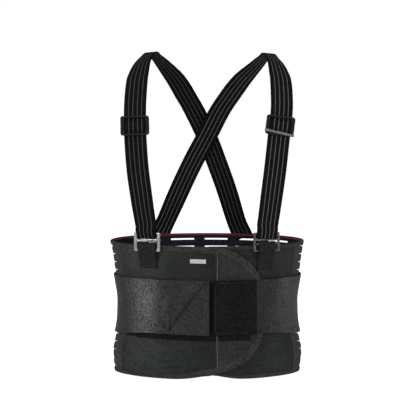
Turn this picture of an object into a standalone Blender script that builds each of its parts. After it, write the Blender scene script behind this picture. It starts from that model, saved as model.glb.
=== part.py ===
"""Work back brace: an elastic waist belt closed at the front by an overlapping
hook-and-loop flap, tightened by two elastic pull straps, and carried by two
elastic shoulder straps that cross behind and clip to the front of the belt.

Frame: metres, +Z up, the wearer faces -Y, origin at the centre of the belt ring
on the plane of its lower edge. Angles round the ring are in degrees: 0 at +X,
90 at the rear (+Y), 180 at -X, 270 at the front (-Y). "Left" is the -X side and
"right" the +X side, as seen by someone facing the wearer.
"""
import bpy
import bmesh
import math
from mathutils import Vector, Matrix

# ---------------------------------------------------------------- belt ring
BELT_TOP = 0.2075            # belt height
DEPTH_RATIO = 0.70           # ring depth over ring width
# (height, half width of the ring's inner surface): an hourglass
PROFILE = [
    (0.0, 0.1428), (0.012, 0.1443), (0.024, 0.1457), (0.036, 0.1460),
    (0.055, 0.1423), (0.078, 0.1376), (0.100, 0.1361), (0.120, 0.1361),
    (0.143, 0.1395), (0.165, 0.1427), (0.186, 0.1456), (BELT_TOP, 0.1489),
]
FACET = 7.5                  # angle of one facet of the ring
FRONT = 270.0                # angle of the front centre
FRONT_HALF_WIDTH = 0.1420    # half width used to turn a front X into an angle

FRONT_RISE = 0.0066          # the lower edge rises this much at the front
NOTCH_RISE = 0.0136          # and this much where the two halves meet
NOTCH_X = 0.004              # middle of the notch
NOTCH_SPREAD = 0.029         # its bell width along X
RISE_FADE = 10.0             # the rise starts over this angle from each side

SPLIT = 0.15                 # half gap at each side hinge line, degrees
REAR_START, REAR_END = SPLIT, 180.0 - SPLIT
LEFT_SIDE = 180.0 + SPLIT    # where the left half starts
RIGHT_SIDE = 360.0 - SPLIT   # where the right half ends
HINGE_X = 0.1530             # side fold lines of the belt

# ---------------------------------------------------------------- thicknesses and gaps
GAP = 0.0003                 # running clearance between neighbours
SEAM_GAP = 0.12              # gap at an upright seam, degrees
CLOTH = 0.0022               # belt panels and mesh
PATCH = 0.0006               # hook or loop patch
PULL = 0.0016                # pull strap elastic
STEP_UP = 0.0043             # the flap rides this far out over the other half
STEP_ANGLES = (255.0, 270.0)     # where the left half steps out

BINDING_WIDTH = 0.0062       # binding on the top and bottom edges
FLAP_BINDING_WIDTH = 0.0100  # wider binding round the flap's nose
BINDING_INNER = -0.0006      # offset of the binding's inner skin
BINDING_T = 0.0036
RIGHT_BINDING_T = 0.0030

# ---------------------------------------------------------------- belt front, X of each line
LEFT_SEAM_X = -0.1255        # left side mesh to left front panel
RIGHT_SEAM_X = 0.1265
FLAP_SEAM_X = 0.0140         # left front panel to flap
FLAP_TIP_X = 0.0895
RIGHT_END_X = -0.0040        # end of the right half, under the flap

# ---------------------------------------------------------------- shoulder straps
SIDE_SIGN = {"left": -1.0, "right": 1.0}
WEB_WIDTH, WEB_T = 0.0330, 0.0013
# strap centre lines (x, y, z) from the clip, over the shoulder, towards the rear anchor
STRAP_LINE = {
    "left": [
        (-0.0897, -0.0925, 0.2290), (-0.0935, -0.0940, 0.2520), (-0.0975, -0.0950, 0.2790),
        (-0.1030, -0.0950, 0.3220), (-0.1064, -0.0930, 0.3710), (-0.1073, -0.0830, 0.4054),
        (-0.1072, -0.0680, 0.4292), (-0.1060, -0.0490, 0.4535), (-0.1040, -0.0360, 0.4660),
        (-0.1004, -0.0250, 0.4790), (-0.0938, -0.0168, 0.4905), (-0.0860, -0.0110, 0.4978),
        (-0.0783, -0.0060, 0.4905), (-0.0682, -0.0005, 0.4800), (-0.0490, 0.0160, 0.4569),
        (-0.0340, 0.0380, 0.4321), (-0.0198, 0.0580, 0.4069), (-0.0012, 0.0745, 0.3680),
        (0.0165, 0.0880, 0.3220), (0.0322, 0.0985, 0.2780), (0.0480, 0.1075, 0.2270),
    ],
    "right": [
        (0.0882, -0.0925, 0.2290), (0.0915, -0.0940, 0.2520), (0.0950, -0.0950, 0.2790),
        (0.1005, -0.0950, 0.3220), (0.1058, -0.0930, 0.3710), (0.1102, -0.0830, 0.4054),
        (0.1113, -0.0680, 0.4292), (0.1108, -0.0490, 0.4535), (0.1089, -0.0360, 0.4660),
        (0.1056, -0.0250, 0.4785), (0.1000, -0.0168, 0.4892), (0.0938, -0.0110, 0.4960),
        (0.0866, -0.0060, 0.4895), (0.0763, -0.0005, 0.4790), (0.0544, 0.0150, 0.4569),
        (0.0356, 0.0360, 0.4321), (0.0190, 0.0540, 0.4069), (-0.0010, 0.0695, 0.3680),
        (-0.0230, 0.0840, 0.3270), (-0.0440, 0.0960, 0.2830), (-0.0690, 0.1040, 0.2270),
    ],
}
SPLINE_STEPS = 10            # samples between two control points
CLIP_TURN = math.radians(18)     # clip and strap front end turn with the ring
APEX_WIDTH = (0.57, 0.82)    # width direction over the shoulder: X, and Y times the side sign
APEX_FLAT = 0.008            # the apex direction holds this far each way,
APEX_FADE = 0.080            # then fades out over this length
APEX_POWER = 1.4
END_BLEND = 0.10             # length over which each end's width direction fades
REAR_TURN = 0.09             # the rear end's direction is reached within this length
TANGENT_REACH = 0.004        # half length sampled for a tangent

STRAP_START = 0.0030         # the strap leg starts this far along the path
STRAP_BREAK = 0.1735         # leg ends and shoulder strap starts
LEG_STEP, SHOULDER_STEP = 0.014, 0.0125      # length of one ribbon section

# where each strap lands on the rear panel
ANCHOR_ANGLE = {"left": 67.6, "right": 121.8}
ANCHOR_LEAN = {"left": 200.0, "right": -270.0}   # slant of the sewn end, degrees per metre
ANCHOR_OFFSET = 0.00876
ANCHOR_HEIGHTS = (0.2070, 0.2035, 0.2000)
ANCHOR_MID_Z = 0.2025        # height at which the strap passes the anchor angle

# ---------------------------------------------------------------- materials
# base colour, roughness, metallic
MATERIALS = {
    "panel": ((0.022, 0.023, 0.024), 0.55, 0.0),
    "mesh": ((0.014, 0.014, 0.015), 0.75, 0.0),
    "velour": ((0.026, 0.028, 0.032), 0.85, 0.0),
    "binding": ((0.022, 0.020, 0.017), 0.80, 0.0),
    "elastic": ((0.036, 0.034, 0.031), 0.60, 0.0),
    "loop": ((0.009, 0.009, 0.010), 0.95, 0.0),
    "hook": ((0.012, 0.012, 0.012), 0.60, 0.0),
    "webbing": ((0.012, 0.012, 0.012), 0.70, 0.0),
    "plastic": ((0.010, 0.010, 0.010), 0.35, 0.0),
    "metal": ((0.55, 0.55, 0.56), 0.32, 1.0),
    "steel": ((0.45, 0.46, 0.48), 0.30, 1.0),
    "label": ((0.80, 0.80, 0.80), 0.50, 0.0),
}


def make_material(kind, name):
    colour, roughness, metallic = MATERIALS[kind]
    mat = bpy.data.materials.new(name + "_mat")
    mat.use_nodes = True
    shader = mat.node_tree.nodes["Principled BSDF"]
    shader.inputs["Base Color"].default_value = (*colour, 1.0)
    shader.inputs["Roughness"].default_value = roughness
    shader.inputs["Metallic"].default_value = metallic
    mat.diffuse_color = (*colour, 1.0)
    return mat


# ---------------------------------------------------------------- numbers
def lerp(a, b, t):
    return a + (b - a) * t


def clamp01(value):
    return min(max(value, 0.0), 1.0)


def smooth(t):
    return t * t * (3 - 2 * t)


def as_function(value):
    """Let a plain number stand in for a function of one variable."""
    return value if callable(value) else (lambda _at: value)


def ramp(start, start_value, end, end_value):
    """A function that is level, then linear from start to end, then level."""
    return lambda at: lerp(start_value, end_value, clamp01((at - start) / (end - start)))


def raised(value, amount):
    return lambda at: as_function(value)(at) + amount


# ---------------------------------------------------------------- the ring surface
def half_width(z):
    z = min(max(z, PROFILE[0][0]), PROFILE[-1][0])
    for (z0, width0), (z1, width1) in zip(PROFILE, PROFILE[1:]):
        if z <= z1:
            return lerp(width0, width1, (z - z0) / (z1 - z0))
    return PROFILE[-1][1]


def ring_normal(angle):
    """Outward horizontal normal."""
    turn = math.radians(angle)
    return Vector((DEPTH_RATIO * math.cos(turn), math.sin(turn), 0.0)).normalized()


def ring_corner(angle, z, offset):
    """Point of the smooth ring, pushed out along the normal."""
    width = half_width(z)
    turn = math.radians(angle)
    point = Vector((width * math.cos(turn), width * DEPTH_RATIO * math.sin(turn), z))
    return point + ring_normal(angle) * offset


def ring_point(angle, z, offset):
    """Point of the faceted ring: straight between the facet corners."""
    facet = math.floor(angle / FACET + 1e-9)
    along = angle / FACET - facet
    corner = ring_corner(facet * FACET, z, offset)
    if along < 1e-7:
        return corner
    return corner.lerp(ring_corner((facet + 1) * FACET, z, offset), along)


def front_angle(x):
    return FRONT + math.degrees(math.asin(x / FRONT_HALF_WIDTH))


def at_x(x):
    """Angle against height of an upright edge at one front X."""
    return lambda z: front_angle(x * FRONT_HALF_WIDTH / half_width(z))


def at_depth(y, side):
    """Angle against height of an upright edge at depth y on one side of the front half."""
    def angle(z):
        turn = math.degrees(math.asin(-y / (half_width(z) * DEPTH_RATIO)))
        return 180.0 + turn if side == "left" else 360.0 - turn
    return angle


def bottom_edge(angle):
    """Height of the belt's lower edge: level behind, raised towards the front."""
    if angle <= 180.0:
        return 0.0
    from_front = abs(angle - FRONT)
    rise = FRONT_RISE * (1.0 - (from_front / 90.0) ** 3)
    x = math.sin(math.radians(angle - FRONT)) * FRONT_HALF_WIDTH
    rise += (NOTCH_RISE - FRONT_RISE) * math.exp(-((x - NOTCH_X) / NOTCH_SPREAD) ** 2)
    return rise * min(1.0, (90.0 - from_front) / RISE_FADE)


# ---------------------------------------------------------------- objects
def clear_scene():
    for obj in list(bpy.data.objects):
        bpy.data.objects.remove(obj, do_unlink=True)


def pivot(name, at):
    """An empty standing on the joint that its children move on."""
    empty = bpy.data.objects.new(name, None)
    empty.empty_display_size = 0.03
    empty.matrix_basis = Matrix.Translation(Vector(at))
    bpy.context.collection.objects.link(empty)
    return empty


def finish(name, mesh, kind, parent=None, place=None):
    """Link the mesh at `place` in the world, under its pivot."""
    mesh.validate(verbose=False)
    mesh.materials.append(make_material(kind, name))
    obj = bpy.data.objects.new(name, mesh)
    bpy.context.collection.objects.link(obj)
    place = place.copy() if place is not None else Matrix.Identity(4)
    if parent is not None:
        obj.parent = parent
        place = parent.matrix_basis.inverted() @ place
    obj.matrix_basis = place
    mesh.shade_smooth()
    mesh.set_sharp_from_angle(angle=math.radians(35))
    return obj


def new_mesh(name, verts, faces):
    mesh = bpy.data.meshes.new(name)
    mesh.from_pydata([tuple(v) for v in verts], [], faces)
    mesh.update()
    return mesh


def closed_solid(name, verts, faces, kind, parent=None, place=None):
    """A solid from raw faces: many-sided caps are triangulated, normals turned outwards."""
    mesh = new_mesh(name, verts, faces)
    bm = bmesh.new()
    bm.from_mesh(mesh)
    bmesh.ops.triangulate(bm, faces=[f for f in bm.faces if len(f.verts) > 4])
    bmesh.ops.recalc_face_normals(bm, faces=bm.faces)
    bm.to_mesh(mesh)
    bm.free()
    return finish(name, mesh, kind, parent, place)


# ---------------------------------------------------------------- sheets on the ring
LAYOUT_SCALE = 0.0025        # metres per degree, only for the flat layout


def cut_along_facets(bm):
    """Cut a flat layout along every facet line and profile height of the ring."""
    lowest = min(v.co.x for v in bm.verts) / LAYOUT_SCALE
    highest = max(v.co.x for v in bm.verts) / LAYOUT_SCALE
    cuts = []
    facet = math.floor(lowest / FACET)
    while facet * FACET <= highest:
        cuts.append(((facet * FACET * LAYOUT_SCALE, 0, 0), (1, 0, 0)))
        facet += 1
    cuts += [((0, z, 0), (0, 1, 0)) for z, _width in PROFILE[1:-1]]
    for point, normal in cuts:
        bmesh.ops.bisect_plane(bm, geom=bm.verts[:] + bm.edges[:] + bm.faces[:], dist=2e-6,
                               plane_co=point, plane_no=normal,
                               clear_inner=False, clear_outer=False)


def sheet(name, cells, inner, thickness, kind, parent=None):
    """A curved sheet on the ring. `cells` are convex outlines in (angle, height);
    `inner` is the offset of the inner skin, a number or a function of the angle."""
    bm = bmesh.new()
    for cell in cells:
        bm.faces.new([bm.verts.new((angle * LAYOUT_SCALE, z, 0.0)) for angle, z in cell])
    bmesh.ops.remove_doubles(bm, verts=bm.verts, dist=1e-6)
    cut_along_facets(bm)
    bmesh.ops.remove_doubles(bm, verts=bm.verts, dist=5e-6)
    bm.verts.index_update()

    count = len(bm.verts)
    verts = []
    for offset in (as_function(inner), raised(inner, thickness)):
        for v in bm.verts:
            angle = v.co.x / LAYOUT_SCALE
            verts.append(ring_point(angle, v.co.y, offset(angle)))
    faces = []
    for face in bm.faces:
        corners = [v.index for v in face.verts]
        if face.normal.z < 0:
            corners.reverse()
        # increasing angle then increasing height faces outwards
        faces.append([i + count for i in corners])
        faces.append(list(reversed(corners)))
    for edge in bm.edges:
        if len(edge.link_faces) == 1:
            loop = edge.link_loops[0]
            a, b = loop.vert.index, loop.link_loop_next.vert.index
            if loop.face.normal.z < 0:
                a, b = b, a
            faces.append([a, b, b + count, a + count])
    bm.free()
    return finish(name, new_mesh(name, verts, faces), kind, parent)


def side_by_side(start, end, low, high, step=FACET):
    """Cells from angle start to end, between two heights (numbers or functions of angle)."""
    low, high = as_function(low), as_function(high)
    edges = [start]
    k = math.floor(start / step) + 1
    while k * step < end - 0.05:
        if k * step > start + 0.05:
            edges.append(k * step)
        k += 1
    edges.append(end)
    return [[(a, low(a)), (b, low(b)), (b, high(b)), (a, high(a))]
            for a, b in zip(edges, edges[1:])]


def stacked(start, end, heights):
    """Cells one above another; start and end are angles or functions of height."""
    start, end = as_function(start), as_function(end)
    bottom, top = heights
    inside = [z for z, _width in PROFILE if bottom + 1e-4 < z < top - 1e-4]
    levels = [bottom] + inside + [top]
    return [[(start(z0), z0), (end(z0), z0), (end(z1), z1), (start(z1), z1)]
            for z0, z1 in zip(levels, levels[1:])]


def between_lines(inner, outer):
    """Cells between two matching lines of (angle, height) points."""
    return [[inner[i], outer[i], outer[i + 1], inner[i + 1]] for i in range(len(inner) - 1)]


# ---------------------------------------------------------------- rear of the belt
def build_rear_panel():
    sheet("rear_mesh_panel",
          side_by_side(REAR_START, REAR_END, BINDING_WIDTH + GAP, BELT_TOP - BINDING_WIDTH - GAP),
          0.0, CLOTH, "mesh")
    for name, low, high in (("rear_top_binding", BELT_TOP - BINDING_WIDTH, BELT_TOP),
                            ("rear_bottom_binding", 0.0, BINDING_WIDTH)):
        sheet(name, side_by_side(REAR_START, REAR_END, low, high),
              BINDING_INNER, BINDING_T, "binding")


# steel stays in sewn channels, spread round the back
STAY_ANGLES = [25.8, 50.9, 74.3, 95.1, 116.7, 144.0]
STAY_WIDTH, STAY_T = 0.0070, 0.0010
STAY_Z = (0.0150, 0.1925)
STAY_PLAY, STAY_SIDE_PLAY = 0.0003, 0.0005   # clearance in the channel: in and out, sideways
CHANNEL_WIDTH, CHANNEL_WALL = 0.0110, 0.0007
CHANNEL_Z = (0.0100, 0.1975)
CHANNEL_FOOT = CLOTH + 0.0004                # just off the mesh
CHANNEL_FACE = CHANNEL_FOOT + 2 * STAY_PLAY + STAY_T + CHANNEL_WALL


def upright(name, angle, heights, section, kind):
    """Draw a section of (across, out) points up the ring at one angle."""
    bottom, top = heights
    inside = [z for z, _width in PROFILE if bottom + 1e-4 < z < top - 1e-4]
    levels = [bottom] + inside + [top]
    normal = ring_normal(angle)
    sideways = Vector((-normal.y, normal.x, 0.0))
    verts, faces = [], []
    count = len(section)
    for z in levels:
        base = ring_point(angle, z, 0.0)
        verts += [base + sideways * across + normal * out for across, out in section]
    for level in range(len(levels) - 1):
        row = level * count
        for i in range(count):
            j = (i + 1) % count
            faces.append([row + i, row + j, row + count + j, row + count + i])
    faces.append(list(range(count))[::-1])
    faces.append([(len(levels) - 1) * count + i for i in range(count)])
    closed_solid(name, verts, faces, kind)


def build_stays():
    half, pocket = CHANNEL_WIDTH / 2, STAY_WIDTH / 2 + STAY_SIDE_PLAY
    roof = CHANNEL_FACE - CHANNEL_WALL
    channel = [(-half, CHANNEL_FOOT), (-pocket, CHANNEL_FOOT), (-pocket, roof), (pocket, roof),
               (pocket, CHANNEL_FOOT), (half, CHANNEL_FOOT),
               (half, CHANNEL_FACE), (-half, CHANNEL_FACE)]
    half = STAY_WIDTH / 2
    low = CHANNEL_FOOT + STAY_PLAY
    stay = [(-half, low), (half, low), (half, low + STAY_T), (-half, low + STAY_T)]
    for number, angle in enumerate(STAY_ANGLES, 1):
        upright("stay_channel_%d" % number, angle, CHANNEL_Z, channel, "mesh")
        upright("spring_stay_%d" % number, angle, STAY_Z, stay, "steel")


# ---------------------------------------------------------------- left half and its flap
LEFT_SEAM, FLAP_SEAM = front_angle(LEFT_SEAM_X), front_angle(FLAP_SEAM_X)
LEFT_OFFSET = ramp(STEP_ANGLES[0], 0.0, STEP_ANGLES[1], STEP_UP)     # inner skin

NOSE_START_X = 0.0020
NOSE_MID_Z = 0.1080
NOSE_LIFT = 0.0034           # the nose's lower branch starts with a short upward sweep
NOSE_LIFT_REACH = 0.62       # share of the nose length the sweep covers
NOSE_STEPS = 14
FLAP_CELL = 3.75             # angle of one cell of the flap
FLAP_CUT = 1.2               # the flap panel stops this many degrees short of its outline's tip
LEFT_EDGE_ANGLES = (LEFT_SIDE, 187.5, 195.0, 210.0, 225.0, 240.0, 247.5, 255.0, 262.5, 270.0)
BINDING_WIDENS = 240.0       # the left binding widens from here to the nose


def nose_line(inset):
    """The flap's rounded nose as (angle, height) points, from the top edge round to
    the bottom, moved in from the outer edge by `inset`."""
    rise = BELT_TOP - inset - NOSE_MID_Z
    drop = NOSE_MID_Z - (bottom_edge(front_angle(NOSE_START_X)) + inset)
    points = []
    for k in range(NOSE_STEPS + 1):
        turn = math.pi / 2 * (1 - 2 * k / NOSE_STEPS)
        reach, climb = math.cos(turn), math.sin(turn)
        angle = front_angle(lerp(NOSE_START_X, FLAP_TIP_X - inset, reach))
        if climb < 0:
            lift = NOSE_LIFT * math.sin(math.pi * min(reach / NOSE_LIFT_REACH, 1.0))
            points.append((angle, NOSE_MID_Z + drop * climb + lift))
        else:
            points.append((angle, NOSE_MID_Z + rise * climb))
    return points


NOSE_OUTER = nose_line(0.0)
NOSE_INNER = nose_line(FLAP_BINDING_WIDTH)
NOSE_PANEL = nose_line(FLAP_BINDING_WIDTH + GAP)
NOSE_START = NOSE_OUTER[0][0]
left_binding_width = ramp(BINDING_WIDENS, BINDING_WIDTH, NOSE_START, FLAP_BINDING_WIDTH)


def nose_height(line, angle, upper):
    """Height of a nose line at an angle, on its upper or lower branch."""
    middle = len(line) // 2
    branch = line[:middle + 1] if upper else line[middle:][::-1]
    if angle <= branch[0][0]:
        return branch[0][1]
    for (angle0, z0), (angle1, z1) in zip(branch, branch[1:]):
        if angle <= angle1:
            return lerp(z0, z1, (angle - angle0) / (angle1 - angle0))
    return branch[-1][1]


def left_top(angle):
    """Lower side of the left half's top binding."""
    if angle <= NOSE_START:
        return BELT_TOP - left_binding_width(angle)
    return nose_height(NOSE_INNER, angle, True)


def left_bottom(angle):
    """Upper side of the left half's bottom binding."""
    if angle <= NOSE_START:
        return bottom_edge(angle) + left_binding_width(angle)
    return nose_height(NOSE_INNER, angle, False)


def build_left_half(hinge):
    low, high = raised(left_bottom, GAP), raised(left_top, -GAP)
    sheet("left_side_mesh", side_by_side(LEFT_SIDE, LEFT_SEAM - SEAM_GAP, low, high),
          0.0, CLOTH, "mesh", hinge)
    sheet("left_front_panel", side_by_side(LEFT_SEAM, FLAP_SEAM - SEAM_GAP, low, high),
          LEFT_OFFSET, CLOTH, "panel", hinge)
    tip = NOSE_PANEL[len(NOSE_PANEL) // 2][0]
    flap = side_by_side(FLAP_SEAM, tip - FLAP_CUT,
                        lambda angle: nose_height(NOSE_PANEL, angle, False),
                        lambda angle: nose_height(NOSE_PANEL, angle, True), FLAP_CELL)
    sheet("closure_flap", flap, STEP_UP, CLOTH, "velour", hinge)

    # one binding runs along the top, round the nose and back along the bottom
    back = LEFT_EDGE_ANGLES[::-1]
    inner = ([(a, left_top(a)) for a in LEFT_EDGE_ANGLES] + NOSE_INNER
             + [(a, left_bottom(a)) for a in back])
    outer = ([(a, BELT_TOP) for a in LEFT_EDGE_ANGLES] + NOSE_OUTER
             + [(a, bottom_edge(a)) for a in back])
    sheet("left_binding", between_lines(inner, outer),
          raised(LEFT_OFFSET, BINDING_INNER), BINDING_T, "binding", hinge)


# ---------------------------------------------------------------- right half
RIGHT_SEAM, RIGHT_END = front_angle(RIGHT_SEAM_X), front_angle(RIGHT_END_X)
RIGHT_END_INNER = RIGHT_END + 1.9    # inner side of the binding on the upright end
RIGHT_EDGE_ANGLES = (RIGHT_SIDE, 352.5, 345.0, 330.0, 315.0, 300.0, 292.5, 285.0, 277.5,
                     RIGHT_END_INNER)


def right_binding_cells():
    top_inner = BELT_TOP - BINDING_WIDTH
    low_inner = raised(bottom_edge, BINDING_WIDTH)
    cells = [[(a, top_inner), (b, top_inner), (b, BELT_TOP), (a, BELT_TOP)]
             for a, b in zip(RIGHT_EDGE_ANGLES, RIGHT_EDGE_ANGLES[1:])]
    forward = RIGHT_EDGE_ANGLES[::-1]
    cells += [[(a, bottom_edge(a)), (b, bottom_edge(b)), (b, low_inner(b)), (a, low_inner(a))]
              for a, b in zip(forward, forward[1:])]
    # the upright end, with a corner cell above and below
    corner = low_inner(RIGHT_END_INNER)
    for outer_low, inner_low, high in (
            (top_inner, top_inner, BELT_TOP),
            (corner, corner, top_inner),
            (bottom_edge(RIGHT_END), bottom_edge(RIGHT_END_INNER), corner)):
        cells.append([(RIGHT_END, outer_low), (RIGHT_END_INNER, inner_low),
                      (RIGHT_END_INNER, high), (RIGHT_END, high)])
    return cells


def build_right_half(hinge):
    low, high = raised(bottom_edge, BINDING_WIDTH + GAP), BELT_TOP - BINDING_WIDTH - GAP
    sheet("right_side_mesh", side_by_side(RIGHT_SEAM + SEAM_GAP, RIGHT_SIDE, low, high),
          0.0, CLOTH, "mesh", hinge)
    sheet("right_front_panel",
          side_by_side(RIGHT_END_INNER + 2 * SEAM_GAP, RIGHT_SEAM, raised(low, GAP), high),
          0.0, CLOTH, "panel", hinge)
    sheet("right_binding", right_binding_cells(), BINDING_INNER, RIGHT_BINDING_T,
          "binding", hinge)


# ---------------------------------------------------------------- patches and label
CLOSURE_LOOP_X, CLOSURE_LOOP_Z = (0.0325, 0.0735), (0.056, 0.160)
CLOSURE_HOOK_X, CLOSURE_HOOK_Z = (0.0330, 0.0640), (0.075, 0.141)
LANDING_Z = (0.0655, 0.1500)
LANDING_END_X = 0.0640
LABEL_X, LABEL_Z, LABEL_T = (-0.0245, -0.0020), (0.1822, 0.1885), 0.0004


def build_closure_patches(hinge_left, hinge_right):
    """Loop patch on the right panel, hook patch inside the flap."""
    start, end = map(front_angle, CLOSURE_LOOP_X)
    sheet("closure_loop_patch", side_by_side(start, end, *CLOSURE_LOOP_Z),
          CLOTH + GAP, PATCH, "loop", hinge_right)
    start, end = map(front_angle, CLOSURE_HOOK_X)
    sheet("closure_hook_patch", side_by_side(start, end, *CLOSURE_HOOK_Z),
          CLOTH + PATCH + 2 * GAP, PATCH, "hook", hinge_left)


def build_left_face(hinge):
    """Landing strips for the pull straps, and the plain label."""
    face = raised(LEFT_OFFSET, CLOTH + GAP)
    sheet("left_landing_strip", side_by_side(LEFT_SEAM + 1.0, FLAP_SEAM - 0.6, *LANDING_Z),
          face, PATCH, "loop", hinge)
    sheet("flap_landing_strip",
          side_by_side(FLAP_SEAM + 0.3, front_angle(LANDING_END_X), *LANDING_Z),
          STEP_UP + CLOTH + GAP, PATCH, "loop", hinge)
    start, end = map(front_angle, LABEL_X)
    sheet("blank_label", side_by_side(start, end, *LABEL_Z), face, LABEL_T, "label", hinge)


# ---------------------------------------------------------------- pull straps
PULL_FOLD_Y = -0.0300                # where each pull strap folds outwards
LEFT_PULL_SEAM_X = -0.0548           # elastic to tab
RIGHT_PULL_SEAM_X = 0.0700           # elastic to pad
LEFT_TAB_END_X = 0.0026
RIGHT_PAD_END_X = 0.0085
PULL_Z_FRONT = (0.0745, 0.1562)      # lower and upper edge at the front
PULL_Z_SIDE = (0.0615, 0.1545)       # and from the sides round to the rear
PULL_TAPER = (37.5, 60.0)            # degrees from the front centre: front to side height
LEFT_TAPER_END = 240.0               # the left elastic has an upright cell edge here
HOOK_PAD_Z = (0.0800, 0.1480)
HOOK_PAD_SEAM_INSET, HOOK_PAD_END_INSET = 2.0, 1.0   # degrees in from the seam and the end
PULL_REAR_REACH = 58.0               # each rear part runs this many degrees from its side

PULL_SEAT = CLOTH + 2 * GAP + PATCH      # clears a landing strip on the panel
PULL_INNER = PULL_SEAT + PATCH + GAP     # leaves room for a hook pad below
PULL_INNER_FLAP = STEP_UP + PULL_INNER   # same, over the flap


def pull_edge(end):
    """Height against angle of the pull strap's lower (0) or upper (1) edge."""
    height = ramp(PULL_TAPER[0], PULL_Z_FRONT[end], PULL_TAPER[1], PULL_Z_SIDE[end])
    return lambda angle: height(abs(angle - FRONT))


def seam_pivot(name, x, inner):
    """Pivot just outside the pull strap on an upright seam at front X."""
    z = PULL_Z_FRONT[1]
    at = ring_point(at_x(x)(z), z, inner + PULL + GAP)
    return pivot(name, (at.x, at.y, 0.0))


def fold_pivot(side):
    z = PULL_Z_SIDE[1]
    at = ring_point(at_depth(PULL_FOLD_Y, "left")(z), z, PULL_INNER + PULL + GAP)
    return pivot(side + "_pull_fold", (-SIDE_SIGN[side] * at.x, PULL_FOLD_Y, 0.0))


def build_left_pull(hinge):
    peel = seam_pivot("left_tab_seam", LEFT_PULL_SEAM_X + GAP / 2, PULL_INNER)
    fold = fold_pivot("left")
    sheet("left_pull_side",
          stacked(LEFT_SIDE, at_depth(PULL_FOLD_Y + GAP, "left"), PULL_Z_SIDE),
          PULL_INNER, PULL, "elastic", hinge)
    taper_start = FRONT - PULL_TAPER[1]
    sheet("left_pull_elastic",
          stacked(at_depth(PULL_FOLD_Y - GAP, "left"), taper_start, PULL_Z_SIDE)
          + side_by_side(taper_start, LEFT_TAPER_END, pull_edge(0), pull_edge(1))
          + stacked(LEFT_TAPER_END, at_x(LEFT_PULL_SEAM_X), PULL_Z_FRONT),
          PULL_INNER, PULL, "elastic", fold)
    sheet("left_pull_tab",
          stacked(at_x(LEFT_PULL_SEAM_X + GAP), at_x(LEFT_TAB_END_X), PULL_Z_FRONT),
          raised(LEFT_OFFSET, PULL_INNER), PULL, "panel", peel)
    sheet("left_hook_pad",
          side_by_side(front_angle(LEFT_PULL_SEAM_X) + HOOK_PAD_SEAM_INSET,
                       front_angle(LEFT_TAB_END_X) - HOOK_PAD_END_INSET, *HOOK_PAD_Z),
          raised(LEFT_OFFSET, PULL_SEAT), PATCH, "hook", peel)


def build_right_pull(hinge):
    fold = fold_pivot("right")
    peel = seam_pivot("right_pad_seam", RIGHT_PULL_SEAM_X - GAP / 2, PULL_INNER_FLAP)
    taper_start, taper_end = (FRONT + turn for turn in PULL_TAPER)
    sheet("right_pull_elastic",
          stacked(at_x(RIGHT_PULL_SEAM_X), taper_start, PULL_Z_FRONT)
          + side_by_side(taper_start, taper_end, pull_edge(0), pull_edge(1))
          + stacked(taper_end, at_depth(PULL_FOLD_Y - GAP, "right"), PULL_Z_SIDE),
          ramp(315.0, PULL_INNER_FLAP, 322.5, PULL_INNER), PULL, "elastic", fold)
    sheet("right_pull_side",
          stacked(at_depth(PULL_FOLD_Y + GAP, "right"), RIGHT_SIDE, PULL_Z_SIDE),
          PULL_INNER, PULL, "elastic", hinge)
    sheet("right_pull_pad",
          stacked(at_x(RIGHT_PAD_END_X), at_x(RIGHT_PULL_SEAM_X - GAP), PULL_Z_FRONT),
          PULL_INNER_FLAP, PULL, "loop", peel)
    sheet("right_hook_pad",
          side_by_side(front_angle(RIGHT_PAD_END_X) + HOOK_PAD_END_INSET,
                       front_angle(RIGHT_PULL_SEAM_X) - HOOK_PAD_SEAM_INSET, *HOOK_PAD_Z),
          PULL_INNER_FLAP - GAP - PATCH, PATCH, "hook", peel)


def build_rear_pulls():
    """Rear parts of the pull straps, rising over the stay channels in one facet."""
    over_stays = CHANNEL_FACE + GAP
    sheet("right_pull_rear", side_by_side(REAR_START, PULL_REAR_REACH, *PULL_Z_SIDE),
          ramp(0.0, PULL_INNER, FACET, over_stays), PULL, "elastic")
    sheet("left_pull_rear", side_by_side(180.0 - PULL_REAR_REACH, REAR_END, *PULL_Z_SIDE),
          ramp(180.0 - FACET, over_stays, 180.0, PULL_INNER), PULL, "elastic")


# ---------------------------------------------------------------- shoulder straps
def spline(control):
    """Uniform Catmull-Rom curve through the control points."""
    pts = [Vector(p) for p in control]
    pts = [pts[0] * 2 - pts[1]] + pts + [pts[-1] * 2 - pts[-2]]
    curve = []
    for i in range(1, len(pts) - 2):
        before, start, end, after = pts[i - 1:i + 3]
        for j in range(SPLINE_STEPS):
            t = j / SPLINE_STEPS
            curve.append(0.5 * ((2 * start) + (end - before) * t
                                + (2 * before - 5 * start + 4 * end - after) * t * t
                                + (3 * start - before - 3 * end + after) * t ** 3))
    curve.append(pts[-2].copy())
    return curve


def front_width_direction(side):
    """Width direction of the clip and of the strap's front end."""
    return Vector((math.cos(CLIP_TURN), SIDE_SIGN[side] * math.sin(CLIP_TURN), 0.0))


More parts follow.
